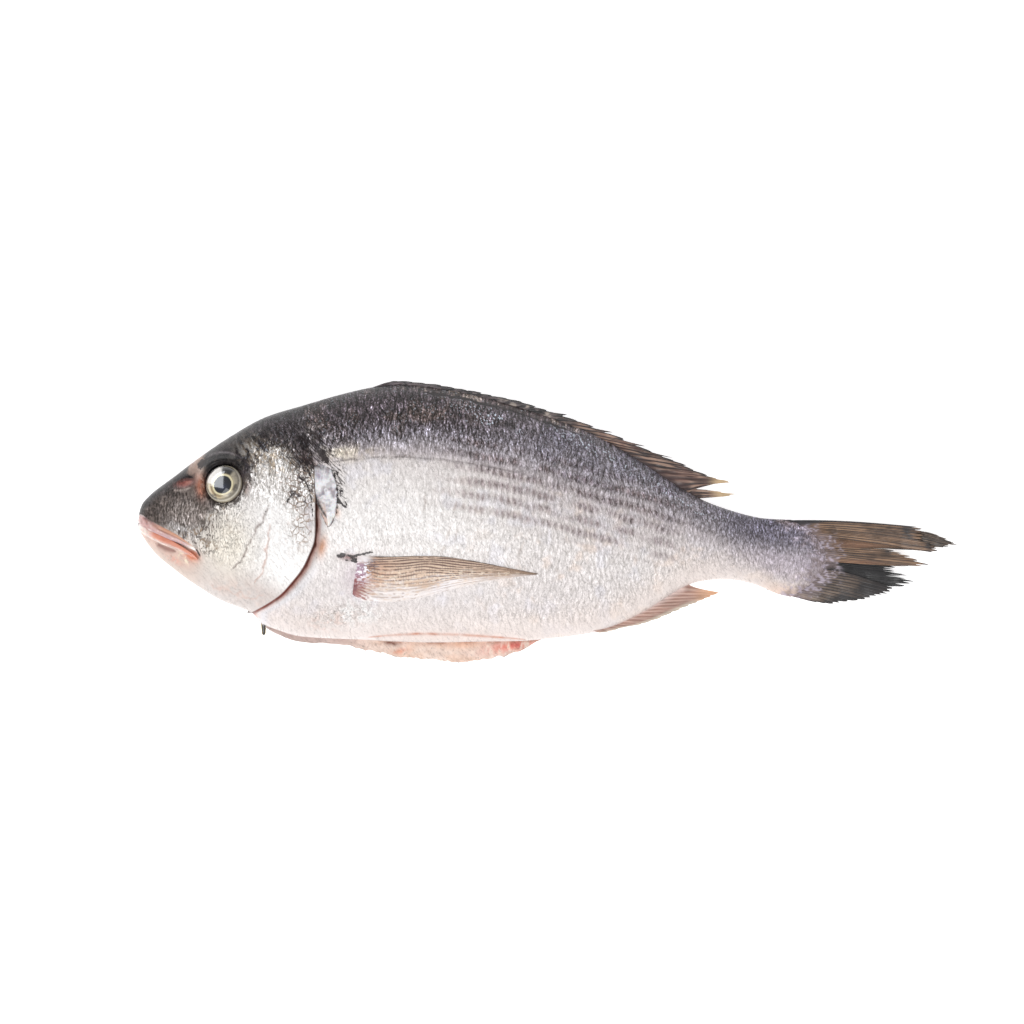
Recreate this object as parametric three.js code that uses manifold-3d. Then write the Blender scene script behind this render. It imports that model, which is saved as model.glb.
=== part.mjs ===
// A whole, gutted sea bream lying on its right flank, in millimetres.
// +X runs from the snout to the tail, +Y from the belly to the back, and +Z up from the surface it lies on.
// The left flank faces up. The origin is the middle of the footprint of its box, on that surface.

import * as THREE from "three";
import { mergeVertices } from "three/addons/utils/BufferGeometryUtils.js";
import Module from "manifold-3d";

const wasm = await Module();
wasm.setup();

// ---------- driving dimensions ----------

const SNOUT_X = -150;
const FLESH_END_X = 102;
// How far the scaled flesh reaches back between the tail's lobes.
const FLESH_BOW = 13;
const NAPE_X = -90;
const THROAT_X = -108.5;

// The edge of the back, then of the left belly flap: [x, y] along the fish.
const BACK = [
  [-150, 0], [-148.6, 6.2], [-146, 9.2], [-138, 15.4], [-129, 22.2], [-116, 31.1], [-104, 37.8], [-90, 42.2],
  [-68, 48.2], [-54, 49.9], [-37, 48.1], [-19, 44.1], [0, 38.2], [18, 31], [32, 23], [46, 13.8],
  [57, 7.6], [70, 3], [80, 0.9], [101, 0.4],
];
const BELLY = [
  [-150, -2], [-148.9, -4.8], [-146.8, -8.1], [-142.4, -13.2], [-138, -16.8], [-129, -23.4],
  [-120, -28.9], [-108.5, -33.6], [-105, -37.3], [-99, -39.9], [-91, -42.2], [-68, -43.5],
  [-46, -44.5], [-24, -44.2], [-5, -43.6], [20, -40], [35, -33.2], [50, -24], [58, -21.8],
  [67, -21.5], [76, -23.4], [85, -27], [101, -29.6],
];
// How far the right belly flap spreads out past the left one.
const FLAP_SPREAD = [
  [-106, 0], [-100, 1.6], [-90, 2.1], [-76, 2.2], [-64, 4.4], [-50, 6.0], [-33, 7.3], [-20, 6.2], [-9, 3.2],
  [-3, 0.3], [4, 0],
];
// Half the thickness of the body, and the height of its middle plane, which sags to the tail.
const HALF_WIDTH = [
  [-150, 0], [-149, 3.4], [-146, 6.4], [-138, 9.6], [-126, 12.8], [-110, 16.2],
  [-95, 18.6], [-75, 20], [-50, 20.2], [-20, 19.2], [10, 16.4], [30, 13.2], [50, 9.6],
  [70, 6.4], [85, 3.6], [95, 1.6], [102, 0.6],
];
const MIDDLE_HEIGHT = [
  [-150, 14.5], [-120, 16.8], [-90, 18.3], [-60, 18.6], [-20, 18.2], [20, 16],
  [50, 12.4], [75, 9.4], [101, 6.6], [125, 4.2], [150, 2.6],
];
// Roundness of the cross-section: 0.5 is an ellipse, more is sharper at back and belly.
const SHARPNESS = [[-150, 0.5], [-110, 0.52], [-80, 0.6], [0, 0.64], [60, 0.56], [101, 0.5]];

// The rear edge of the gill cover, from the nape down to the throat: [y, x].
const GILL_EDGE = [
  [43, -90], [31, -87.4], [22, -85.6], [13, -85], [3, -84.7], [-7, -85], [-12, -86.8],
  [-17.6, -89.6], [-22.8, -93.7], [-27.3, -98], [-31, -103.6], [-33.6, -108.5],
];
const GILL_TOP_Y = 19.5;
const GILL_COVER_LIFT = 1.3;
const GILL_SLIT_DEPTH = 2.2;
const GILL_SLIT_WIDTH = 4;
const UNDERLAP = 6;

// The front bone of the gill cover: [y, x].
const CHEEK_EDGE = [[16, -99.6], [4, -101.8], [-8, -108.4], [-17, -114]];
const CHEEK_STEP = 0.8;

const EYE = { x: -118.6, y: 13.8, radius: 7, depth: 4.4, rise: -1.7, gap: 0.35 };
const EYE_RIM = 0.85;
const NOSTRIL = { x: -132.8, y: 14.2, length: 2.9, height: 1.4, depth: 2.6, tilt: 0.28 };

// The mouth, from the front of the snout to its corner.
const MOUTH = [
  [-151.5, -0.4], [-148.4, -1.2], [-144.9, -3.7], [-139.8, -6.2], [-134.7, -8.5],
  [-129.9, -11.3], [-127.9, -13],
];
const MOUTH_GAP = 0.8;
const MOUTH_DEPTH = 2.6;
// Each lip is a bead, sunk in the skin by a share of its radius, and thin at the corners of the mouth.
const LIP = { upper: 1.5, lower: 1.3, offset: 1.5, sunk: 0.45, thin: 0.45, taper: 0.14, steps: 26 };

// The knife's cut along the belly, and how high the edges of the left and right flaps hang: [x, z].
const CUT = { fromX: -100, toX: -8, depth: 9, height: 1.5, innerHeight: 0.4, stations: 24 };
const LEFT_EDGE = [
  [-150, 14.5], [-120, 16.8], [-109, 16.9], [-97, 14.2], [-80, 10.9], [-50, 9.2],
  [-25, 9.8], [-2, 12.2], [24, 14], [50, 12.1], [80, 8.9], [102, 6.5],
];
const RIGHT_EDGE = [
  [-150, 14.5], [-120, 16.8], [-109, 16.7], [-97, 11], [-80, 5], [-50, 3.4], [-25, 3.8],
  [-6, 8], [8, 12.2], [24, 13.8], [50, 12.1], [80, 8.9], [102, 6.5],
];
const EDGE_SAG_FROM = 0.62;

// Cutting and joining leaves needle-thin triangles: points closer to a straight line than this go.
const NEEDLE = 0.03;

const FIN_EDGE_HALF = 0.32;
const FIN_RAY_HALF = 0.62;

// ---------- curves ----------

/** A smooth function through [x, y] points: a cubic Hermite with slopes from each point's neighbours. */
function curveThrough(points, stretch = (x) => x) {
  const xs = points.map(([x]) => stretch(x));
  const ys = points.map(([, y]) => y);
  const last = xs.length - 1;
  const slopes = xs.map((_, i) => {
    const a = Math.max(0, i - 1);
    const b = Math.min(last, i + 1);
    return (ys[b] - ys[a]) / (xs[b] - xs[a]);
  });
  return (x) => {
    const at = THREE.MathUtils.clamp(stretch(x), Math.min(xs[0], xs[last]), Math.max(xs[0], xs[last]));
    const rising = xs[last] > xs[0];
    let i = 0;
    while (i < last - 1 && (rising ? at > xs[i + 1] : at < xs[i + 1])) i++;
    const span = xs[i + 1] - xs[i];
    const t = (at - xs[i]) / span;
    const t2 = t * t;
    const t3 = t2 * t;
    return (
      (2 * t3 - 3 * t2 + 1) * ys[i] +
      (t3 - 2 * t2 + t) * span * slopes[i] +
      (3 * t2 - 2 * t3) * ys[i + 1] +
      (t3 - t2) * span * slopes[i + 1]
    );
  };
}

// Seen against the square root of the distance from the snout, a blunt nose is a plain slope.
const fromSnout = (x) => Math.sqrt(Math.max(0, x - SNOUT_X));
const backY = curveThrough(BACK, fromSnout);
const bellyY = curveThrough(BELLY, fromSnout);
const halfWidth = curveThrough(HALF_WIDTH, fromSnout);
const middleZ = curveThrough(MIDDLE_HEIGHT);
const sharpness = curveThrough(SHARPNESS);
const flapSpread = curveThrough(FLAP_SPREAD);
const leftEdgeZ = curveThrough(LEFT_EDGE);
const rightEdgeZ = curveThrough(RIGHT_EDGE);
const gillEdgeX = curveThrough(GILL_EDGE);
const cheekEdgeX = curveThrough(CHEEK_EDGE);
const { lerp, smoothstep, clamp } = THREE.MathUtils;

/** The lower edge of a side's outline: the right belly flap spreads out past the left one. */
const lowY = (x, side) => bellyY(x) - (side < 0 ? flapSpread(x) : 0);

/** Half the body's thickness at a point of a side's outline. */
function bodyHalf(x, y, side = 1) {
  const [high, low] = [backY(x), lowY(x, side)];
  const across = clamp((2 * y - high - low) / Math.max(high - low, 0.01), -1, 1);
  return halfWidth(x) * Math.pow(Math.max(0, 1 - across * across), sharpness(x));
}

/** Height of the body's middle under a point of a side: towards the belly it sags to that flap's edge. */
function coreZ(x, y, side) {
  const share = (backY(x) - y) / Math.max(backY(x) - lowY(x, side), 0.01);
  return lerp(middleZ(x), (side > 0 ? leftEdgeZ : rightEdgeZ)(x), smoothstep(share, EDGE_SAG_FROM, 1));
}

const onTable = (z) => Math.max(0, z);
// The inner face of what lies against the lower flank stays this far above the surface.
const CLEAR_OF_TABLE = 0.5;

/** Height of a point that stands out from the skin of the left (1) or right (-1) side by an amount. */
const skinZ = (x, y, side, proud = 0) => onTable(coreZ(x, y, side) + side * (bodyHalf(x, y, side) + proud));

/** 1 along the open part of the gill slit, and 0 where head and back run on. */
const gillOpen = (y) => 1 - smoothstep(y, GILL_TOP_Y - 3, GILL_TOP_Y + 3);

/** What the gill cover and cheek stand out from the plain side of the head. */
function headRelief(x, y) {
  const toEdge = gillEdgeX(y) - x;
  const cover = GILL_COVER_LIFT * gillOpen(y) * (1 - smoothstep(toEdge, 0, 13));
  const pastCheek = x - cheekEdgeX(y);
  const inCheek = smoothstep(y, -21, -15) * (1 - smoothstep(y, 12, 20));
  return cover + CHEEK_STEP * inCheek * (smoothstep(pastCheek, -9, -1) - smoothstep(pastCheek, -1, 3));
}

/** How far the trunk lies below its plain side, in the groove behind the gill cover. */
function gillGroove(x, y) {
  return GILL_SLIT_DEPTH * gillOpen(y) * (1 - smoothstep(x - gillEdgeX(y), 0, GILL_SLIT_WIDTH));
}

// ---------- closed meshes ----------

/** A solid of rings of points joined side by side: its ends zipped shut, or joined to each other. */
function loft(rings, endless = false) {
  const n = rings[0].length;
  const index = [];
  const quad = (a, b, c, d) => index.push(a, b, c, a, c, d);
  const spans = endless ? rings.length : rings.length - 1;
  for (let r = 0; r < spans; r++)
    for (let i = 0; i < n; i++) {
      const [j, next] = [(i + 1) % n, (r + 1) % rings.length];
      quad(r * n + i, r * n + j, next * n + j, next * n + i);
    }
  if (!endless) {
    zip(index, 0, n, true);
    zip(index, (rings.length - 1) * n, n, false);
  }
  return solidFrom(rings.flat(2), index);
}

/** A round bead along a curve, its radius a function of the share of the way. */
function bead(curve, radius, { steps, sides = 6 }) {
  const { normals, binormals } = curve.computeFrenetFrames(steps, curve.closed);
  const rings = Array.from({ length: curve.closed ? steps : steps + 1 }, (_, k) => {
    const at = curve.getPoint(k / steps);
    return Array.from({ length: sides }, (_, j) => {
      const turn = (2 * Math.PI * j) / sides;
      const r = radius(k / steps);
      const across = normals[k].clone().multiplyScalar(r * Math.cos(turn));
      return at.clone().add(across).addScaledVector(binormals[k], r * Math.sin(turn)).toArray();
    });
  });
  return loft(rings, curve.closed);
}

/** Closes the ring that starts at the given vertex, pairing its two sides. */
function zip(index, start, n, first) {
  let low = 0;
  let high = n - 1;
  const triangle = (a, b, c) => index.push(start + a, start + (first ? c : b), start + (first ? b : c));
  while (high - low > 1) {
    triangle(low, low + 1, high);
    low++;
    if (high - low > 1) {
      triangle(low, high - 1, high);
      high--;
    }
  }
}

/** A solid from loose positions and an index, its shared vertices merged and its faces turned out. */
function solidFrom(positions, index) {
  const geometry = new THREE.BufferGeometry();
  geometry.setAttribute("position", new THREE.Float32BufferAttribute(positions, 3));
  geometry.setIndex(index);
  return solidOf(geometry);
}

function solidOf(geometry) {
  const bare = geometry.clone();
  bare.deleteAttribute("normal");
  bare.deleteAttribute("uv");
  const merged = mergeVertices(bare, 1e-3);
  const corners = [];
  for (let i = 0; i < merged.index.count; i += 3) {
    const [a, b, c] = [0, 1, 2].map((k) => merged.index.getX(i + k));
    if (a !== b && b !== c && c !== a) corners.push(a, b, c);
  }
  const vertProperties = merged.attributes.position.array;
  const made = (triVerts) => new wasm.Manifold(new wasm.Mesh({ numProp: 3, vertProperties, triVerts }));
  const solid = made(new Uint32Array(corners));
  return solid.volume() > 0 ? solid : made(new Uint32Array(corners.reverse()));
}

/** A THREE.Mesh of a solid, in its own colour. */
function meshOf(name, solid, colour, roughness) {
  const { numProp, vertProperties, triVerts, numVert } = solid.getMesh();
  const points = new Float32Array(numVert * 3);
  for (let i = 0; i < numVert; i++) points.set(vertProperties.subarray(i * numProp, i * numProp + 3), 3 * i);
  const geometry = new THREE.BufferGeometry();
  geometry.setAttribute("position", new THREE.BufferAttribute(points, 3));
  geometry.setIndex(new THREE.BufferAttribute(triVerts, 1));
  geometry.computeVertexNormals();
  const finish = new THREE.MeshStandardMaterial({ color: colour, roughness, metalness: 0 });
  const mesh = new THREE.Mesh(geometry, finish);
  mesh.name = name;
  return mesh;
}

/** The largest body of a solid, without the slivers that cutting leaves. */
function largest(solid) {
  return solid.decompose().reduce((a, b) => (b.volume() > a.volume() ? b : a));
}

// ---------- head and trunk ----------

const SIDE_STEPS = 17;
/** Steps from back to belly, closer together at both edges, where the side curves round. */
const sideSteps = Array.from(
  { length: SIDE_STEPS + 1 },
  (_, i) => (1 - Math.cos((Math.PI * i) / SIDE_STEPS)) / 2,
);

/** How far a line from nape to throat bows back to the gill cover's edge, at a share of its length. */
function gillBow(share) {
  const y = lerp(backY(NAPE_X), bellyY(THROAT_X), share);
  return gillEdgeX(y) - lerp(NAPE_X, THROAT_X, share);
}

/** One ring of the head: the left side from back to belly, then the right side back up. */
function headRing(s) {
  const along = s * s;
  const [topX, lowX] = [lerp(SNOUT_X, NAPE_X, along), lerp(SNOUT_X, THROAT_X, along)];
  const left = [];
  const right = [];
  sideSteps.forEach((share, i) => {
    const y = lerp(backY(topX), bellyY(lowX), share);
    const x = lerp(topX, lowX, share) + along * along * gillBow(share);
    const inner = i > 0 && i < SIDE_STEPS;
    const relief = headRelief(x, y) * Math.min(1, 5 * Math.min(share, 1 - share));
    left.push([x, y, inner ? skinZ(x, y, 1, relief) : coreZ(x, y, 1)]);
    if (inner) right.unshift([x, y, skinZ(x, y, -1, relief)]);
  });
  return [...left, ...right];
}

const HEAD_STATIONS = 22;
// The share of the head's length, before it is squared, at which its first ring stands.
const HEAD_FIRST_RING = 0.07;
const TRUNK_STATIONS = 38;
// How much smaller than the skin the trunk's front end is, where it runs on inside the head.
const UNDER_SHRINK = 0.86;
// Between the flaps' edges: how far the cut tucks in where it is shut and open, and at what share of the gap.
const TUCK = { shut: 0.35, open: 1.6, height: 0.55, overhang: 0.25, gapFrom: 0.1, gapTo: 4 };

function head() {
  const share = (k) => lerp(HEAD_FIRST_RING, 1, k / (HEAD_STATIONS - 1));
  return loft(Array.from({ length: HEAD_STATIONS }, (_, k) => headRing(share(k))));
}

/** One ring of the trunk, with the cut belly's two edges; under is how far it runs on beneath the head. */
function trunkRing(s, under = 0) {
  const rearX = FLESH_END_X - FLESH_BOW;
  const [topX, lowX] = [lerp(NAPE_X, rearX, s), lerp(THROAT_X, rearX, s)];
  const shrink = under ? UNDER_SHRINK : 1;
  const place = (share, low) => {
    const high = backY(topX);
    const y = lerp((high + low) / 2, lerp(high, low, share), shrink);
    const bow = Math.pow(1 - s, 3) * gillBow(share) + FLESH_BOW * Math.pow(s, 8) * 4 * share * (1 - share);
    return [lerp(topX, lowX, share) + bow - under, y];
  };
  const outline = (side) =>
    sideSteps.map((share) => {
      const [x, y] = place(share, lowY(lowX, side));
      const half = shrink * Math.max(0, bodyHalf(x, y, side) - gillGroove(x, y));
      return [x, y, onTable(coreZ(x, y, side) + side * half)];
    });
  const left = outline(1);
  const right = outline(-1).slice(1).reverse();
  const [lipX, lipY, lipZ] = left[SIDE_STEPS];
  const flapEnd = right[0];
  const gape = smoothstep(lipZ - flapEnd[2], TUCK.gapFrom, TUCK.gapTo);
  flapEnd[1] -= TUCK.overhang * (1 - gape);
  const tuck = [lipX, lipY + lerp(TUCK.shut, TUCK.open, gape), lerp(lipZ, flapEnd[2], TUCK.height)];
  return [...left, tuck, ...right];
}

function trunk() {
  const hidden = trunkRing(0, UNDERLAP);
  const shown = Array.from({ length: TRUNK_STATIONS }, (_, k) => trunkRing(k / (TRUNK_STATIONS - 1)));
  return loft([hidden, ...shown]);
}

/** The knife's cut between the belly flaps: a flat wedge, deepest in the middle of its length. */
function bellyCut() {
  const rings = Array.from({ length: CUT.stations }, (_, k) => {
    const share = k / (CUT.stations - 1);
    const x = lerp(CUT.fromX, CUT.toX, share);
    const swell = Math.sqrt(Math.max(0.02, Math.sin(Math.PI * share)));
    const y = bellyY(x);
    const inner = y + CUT.depth * swell;
    const outerZ = lerp(leftEdgeZ(x), rightEdgeZ(x), 0.25);
    const innerZ = lerp(outerZ, middleZ(x), 0.3);
    const half = (CUT.height / 2) * swell;
    const innerHalf = CUT.innerHeight / 2;
    return [
      [x, y - 2, outerZ + half], [x, y - 2, outerZ - half],
      [x, inner, innerZ - innerHalf], [x, inner, innerZ + innerHalf],
    ];
  });
  return loft(rings);
}

// ---------- face ----------

const onSkin = (x, y, side, proud) => new THREE.Vector3(x, y, skinZ(x, y, side, proud));

/** The way out of the skin at a point. */
function outward(x, y, side) {
  const step = EYE.radius;
  const [ahead, astern, above, below] = [[step, 0], [-step, 0], [0, step], [0, -step]].map(([dx, dy]) =>
    skinZ(x + dx, y + dy, side),
  );
  const [alongX, alongY] = [(astern - ahead) / (2 * step), (below - above) / (2 * step)];
  return new THREE.Vector3(side * alongX, side * alongY, side).normalize();
}

/** An eye: a flattened ball that faces out of the head. */
function eyeball(side, grow = 0) {
  const shape = new THREE.SphereGeometry(1, 20, 10);
  const facing = outward(EYE.x, EYE.y, side);
  shape.rotateX(Math.PI / 2);
  shape.scale(EYE.radius + grow, EYE.radius + grow, EYE.depth + grow);
  shape.applyQuaternion(new THREE.Quaternion().setFromUnitVectors(new THREE.Vector3(0, 0, 1), facing));
  const middle = onSkin(EYE.x, EYE.y, side, 0).addScaledVector(facing, EYE.rise);
  shape.translate(...middle.toArray());
  return solidOf(shape);
}

/** The raised skin round the eye. */
function eyeRim(side) {
  const reach = EYE.radius + 0.8 * EYE_RIM;
  const points = Array.from({ length: 16 }, (_, k) => {
    const turn = (Math.PI * k) / 8;
    return onSkin(EYE.x + reach * Math.cos(turn), EYE.y + reach * Math.sin(turn), side, -0.25);
  });
  return bead(new THREE.CatmullRomCurve3(points, true), () => EYE_RIM, { steps: 22, sides: 5 });
}

function nostril(side) {
  const shape = new THREE.SphereGeometry(1, 10, 6);
  shape.scale(NOSTRIL.length, NOSTRIL.height, NOSTRIL.depth);
  shape.rotateZ(NOSTRIL.tilt);
  shape.translate(NOSTRIL.x, NOSTRIL.y, skinZ(NOSTRIL.x, NOSTRIL.y, side, 0.6));
  return solidOf(shape);
}

/** The groove between the jaws, along one side of the snout. */
function mouthGroove(side) {
  const rings = MOUTH.map(([x, y], i) => {
    const half = (MOUTH_GAP / 2) * (i === MOUTH.length - 1 ? 0.3 : 1);
    const [deep, clear] = [-MOUTH_DEPTH, 4].map((proud) => skinZ(x, y, side, proud));
    return [[x, y + half, deep], [x, y - half, deep], [x, y - half, clear], [x, y + half, clear]];
  });
  return loft(rings);
}

/** A lip: a round bead along the mouth, from one corner round the snout to the other, thin at both ends. */
function lip(radius, offset) {
  const edge = MOUTH.slice(1).map(([x, y]) => [x, y + offset]);
  const front = new THREE.Vector3(SNOUT_X + radius, MOUTH[1][1] + offset, middleZ(SNOUT_X));
  const path = new THREE.CatmullRomCurve3([
    ...edge.map(([x, y]) => onSkin(x, y, -1, -LIP.sunk * radius)).reverse(),
    front,
    ...edge.map(([x, y]) => onSkin(x, y, 1, -LIP.sunk * radius)),
  ]);
  const swell = (t) => radius * lerp(LIP.thin, 1, smoothstep(Math.min(t, 1 - t), 0, LIP.taper));
  return bead(path, swell, { steps: LIP.steps });
}

// ---------- fins ----------

/**
 * A fin: rays side by side from a base line to a tip line, thick on each ray and thin between.
 * base(v) and tip(v) give [x, y]; lift(x, y, u, v) gives the height of its middle plane.
 */
function fin({ rays, rows, base, tip, lift, rayHalf = FIN_RAY_HALF }) {
  const columns = 2 * rays;
  const rings = Array.from({ length: columns + 1 }, (_, j) => {
    const v = j / columns;
    const onRay = j % 2 === 1;
    const top = [];
    const under = [];
    const [[bx, by], [tx, ty]] = [base(v), tip(v, onRay)];
    for (let k = 0; k <= rows; k++) {
      const u = k / rows;
      const x = lerp(bx, tx, u);
      const y = lerp(by, ty, u);
      const z = lift(x, y, u, v);
      const half = lerp(onRay ? rayHalf : FIN_WEB * rayHalf, FIN_EDGE_HALF, u);
      top.push([x, y, z + half]);
      under.unshift([x, y, z - half]);
    }
    return [...top, ...under];
  });
  return loft(rings);
}

// A fin's membrane is thinner than its rays, and ends a little short of their tips.
const FIN_WEB = 0.55;
const DORSAL_FIN = { fromX: -62, toX: 52, rays: 22, rows: 3, sunk: 2.2, web: 0.86, lift: 0.9 };
// The last rays come down to the root of the fin: from which share of its length, and between which heights.
const DORSAL_END = { from: 0.9, high: 17.6, low: 9.4 };
// How far the folded dorsal fin stands above the back, and how far back its rays lie.
const DORSAL_RISE = [
  [-62, 0.6], [-50, 1.4], [-30, 2.2], [-10, 3.4], [8, 4.6], [24, 6.6], [38, 8.6], [52, 9.4],
];
const DORSAL_SWEEP = [[-62, 5], [-30, 8], [0, 11], [24, 14], [40, 17], [52, 22]];

function dorsalFin() {
  const rise = curveThrough(DORSAL_RISE);
  const sweep = curveThrough(DORSAL_SWEEP);
  const along = (v) => lerp(DORSAL_FIN.fromX, DORSAL_FIN.toX, v);
  return fin({
    rays: DORSAL_FIN.rays,
    rows: DORSAL_FIN.rows,
    base: (v) => [along(v), backY(along(v)) - DORSAL_FIN.sunk],
    tip: (v, onRay) => {
      const x = along(v) + sweep(along(v)) * (onRay ? 1 : DORSAL_FIN.web);
      const { from, high, low } = DORSAL_END;
      const edge = v > from ? lerp(high, low, (v - from) / (1 - from)) : backY(x) + rise(x);
      return [x, Math.max(edge, backY(x) + 0.4)];
    },
    lift: (x, y, u) => middleZ(x) + DORSAL_FIN.lift * u,
  });
}

const ANAL_FIN = { fromX: 17, toX: 55, rays: 12, rows: 3, sunk: 2, web: 0.85, lift: -0.8 };
// The tips of its rays: how far back they lie and how low they reach, at the front and at the rear.
const ANAL_TIPS = { sweepFront: 4, sweepRear: 9.5, frontY: -41.4, rearY: -26.6, bow: 1.25, webRise: 1.2 };

function analFin() {
  const along = (v) => lerp(ANAL_FIN.fromX, ANAL_FIN.toX, v);
  return fin({
    rays: ANAL_FIN.rays,
    rows: ANAL_FIN.rows,
    base: (v) => [along(v), bellyY(along(v)) + ANAL_FIN.sunk],
    tip: (v, onRay) => {
      const { sweepFront, sweepRear, frontY, rearY, bow, webRise } = ANAL_TIPS;
      const reach = onRay ? 1 : ANAL_FIN.web;
      const y = lerp(frontY, rearY, Math.pow(v, bow)) + webRise * (1 - reach);
      return [along(v) + lerp(sweepFront, sweepRear, v) * reach, y];
    },
    lift: (x, y, u) => middleZ(x) + ANAL_FIN.lift * u,
  });
}

const TAIL_FIN = { rays: 24, rows: 5, webShort: 1.8, wave: 0.8, waves: 9, rayHalf: 0.7, endX: 150 };
// The tail's ragged outline: [share of the fan from top to bottom, x, y] at each bundle of rays.
const TAIL_TIPS = [
  [0, 104, 0.5], [0.06, 126, -0.2], [0.12, 136, -2.6], [0.17, 139, -5], [0.25, 150, -8.8],
  [0.31, 146, -9.9], [0.37, 143.6, -11.8], [0.405, 126, -10.6], [0.44, 139.6, -16], [0.49, 136, -17.3],
  [0.53, 131, -17.2], [0.58, 127.6, -18.8], [0.63, 124, -20], [0.67, 132.4, -20], [0.74, 135.8, -22.6],
  [0.8, 129.6, -24.7], [0.86, 125.2, -26.8], [0.92, 117, -28.8], [1, 104, -30.6],
];
const TAIL_BASE = [
  [0, 82, -1.2], [0.12, 88, -3.6], [0.3, 94, -9], [0.5, 97, -14.5], [0.7, 94, -20],
  [0.88, 88, -24.4], [1, 82, -24.4],
];

function tailFin() {
  const pick = (table, k) => curveThrough(table.map((row) => [row[0], row[k]]));
  const [tipX, tipY] = [pick(TAIL_TIPS, 1), pick(TAIL_TIPS, 2)];
  const [baseX, baseY] = [pick(TAIL_BASE, 1), pick(TAIL_BASE, 2)];
  return fin({
    rays: TAIL_FIN.rays,
    rows: TAIL_FIN.rows,
    base: (v) => [baseX(v), baseY(v)],
    tip: (v, onRay) => [Math.min(TAIL_FIN.endX, tipX(v) - (onRay ? 0 : TAIL_FIN.webShort)), tipY(v)],
    lift: (x, y, u, v) => middleZ(x) + TAIL_FIN.wave * u * Math.sin(TAIL_FIN.waves * v),
    rayHalf: TAIL_FIN.rayHalf,
  });
}

const PECTORAL_FIN = { rays: 7, columns: 11, rayLift: 1.25, webLift: 0.85, tipShare: 0.75, sunk: 0.7 };
const PECTORAL_TOP = [[0, -68, -15.6], [0.5, -40, -13.2], [0.8, -18, -17], [1, -4.2, -19.1]];
const PECTORAL_FOOT = [[0, -71.5, -27.8], [0.5, -44, -29], [0.8, -22, -23.6], [1, -4.2, -19.5]];

/** The long side fin, folded back flat on the flank. */
function pectoralFin(side) {
  const pick = (table, k) => curveThrough(table.map((row) => [row[0], row[k]]));
  const [topX, topY, lowX, lowY] = [
    pick(PECTORAL_TOP, 1), pick(PECTORAL_TOP, 2), pick(PECTORAL_FOOT, 1), pick(PECTORAL_FOOT, 2),
  ];
  const { rays, columns, rayLift, webLift, tipShare, sunk } = PECTORAL_FIN;
  const rings = Array.from({ length: columns + 1 }, (_, k) => {
    const u = k / columns;
    const outer = [];
    const inner = [];
    for (let j = 0; j <= 2 * rays; j++) {
      const v = j / (2 * rays);
      const x = lerp(topX(u), lowX(u), v);
      const y = lerp(topY(u), lowY(u), v);
      const proud = (j % 2 === 1 ? rayLift : webLift) * lerp(1, tipShare, u) * smoothstep(u, -0.03, 0.16);
      outer.push([x, y, skinZ(x, y, side, proud)]);
      inner.unshift([x, y, Math.max(CLEAR_OF_TABLE, skinZ(x, y, side, -sunk))]);
    }
    return [...outer, ...inner];
  });
  return loft(rings);
}

// The shoulder's tongue: its height from top to tip, and how far it stands out at its edges and its middle.
const TONGUE = { rows: 6, columns: 4, topY: 19.8, tipY: -2, lift: 1, crown: 0.6, sunk: 0.8, clear: 0.6 };
// Its front and rear edges: [share of the way down, x].
const TONGUE_FRONT = [[0, -87], [0.45, -85.6], [0.8, -82], [1, -80.4]];
const TONGUE_REAR = [[0, -78.6], [0.35, -76.4], [0.7, -77], [1, -79]];

/** The loose tongue of skin at the shoulder that hangs over the top of the gill slit. */
function shoulderFlap(side) {
  const { rows, columns, topY, tipY, lift, crown, sunk, clear } = TONGUE;
  const front = curveThrough(TONGUE_FRONT);
  const rear = curveThrough(TONGUE_REAR);
  const rings = Array.from({ length: rows + 1 }, (_, k) => {
    const t = k / rows;
    const y = lerp(topY, tipY, t);
    const outer = [];
    const inner = [];
    for (let j = 0; j <= columns; j++) {
      const x = lerp(front(t), rear(t), j / columns);
      const proud = (lift + crown * Math.sin((Math.PI * j) / columns)) * smoothstep(t, -0.1, 0.3);
      outer.push([x, y, skinZ(x, y, side, proud)]);
      inner.unshift([x, y, Math.max(clear, skinZ(x, y, side, -sunk))]);
    }
    return [...outer, ...inner];
  });
  return loft(rings);
}

const GIRDLE_TIP = { top: 1.4, bottom: 0.7, length: 5.4, sides: 7, tilt: 0.3, at: [-104.2, -37.6, 14.6] };

/** The bony tip of the shoulder girdle that shows where the belly cut begins. */
function girdleTip() {
  const { top, bottom, length, sides, tilt, at } = GIRDLE_TIP;
  const shape = new THREE.CylinderGeometry(top, bottom, length, sides);
  shape.rotateX(tilt);
  shape.translate(...at);
  return solidOf(shape);
}

// ---------- the fish ----------

const SIDES = [1, -1];
const raised = [
  trunk(), lip(LIP.upper, LIP.offset), lip(LIP.lower, -LIP.offset), ...SIDES.map(eyeRim), dorsalFin(),
  analFin(), tailFin(), ...SIDES.map(pectoralFin), ...SIDES.map(shoulderFlap), girdleTip(),
];
const sockets = SIDES.map((side) => eyeball(side, EYE.gap));
const cut = [bellyCut(), ...SIDES.map(mouthGroove), ...SIDES.map(nostril), ...sockets];
const whole = raised.reduce((solid, piece) => solid.add(piece), head());
const fish = largest(cut.reduce((solid, tool) => solid.subtract(tool), whole)).simplify(NEEDLE);

const SKIN_COLOUR = 0xb9b7ba;
const EYE_COLOUR = 0x6f6a5c;

const group = new THREE.Group();
group.add(meshOf("fish", fish, SKIN_COLOUR, 0.35));
group.add(meshOf("eye_left", eyeball(1), EYE_COLOUR, 0.05));
group.add(meshOf("eye_right", eyeball(-1), EYE_COLOUR, 0.05));

// The box's footprint is centred on the origin, and its lowest face lies on the surface.
const box = new THREE.Box3().setFromObject(group);
const middle = box.getCenter(new THREE.Vector3());
group.position.set(-middle.x, -middle.y, -box.min.z);

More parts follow.
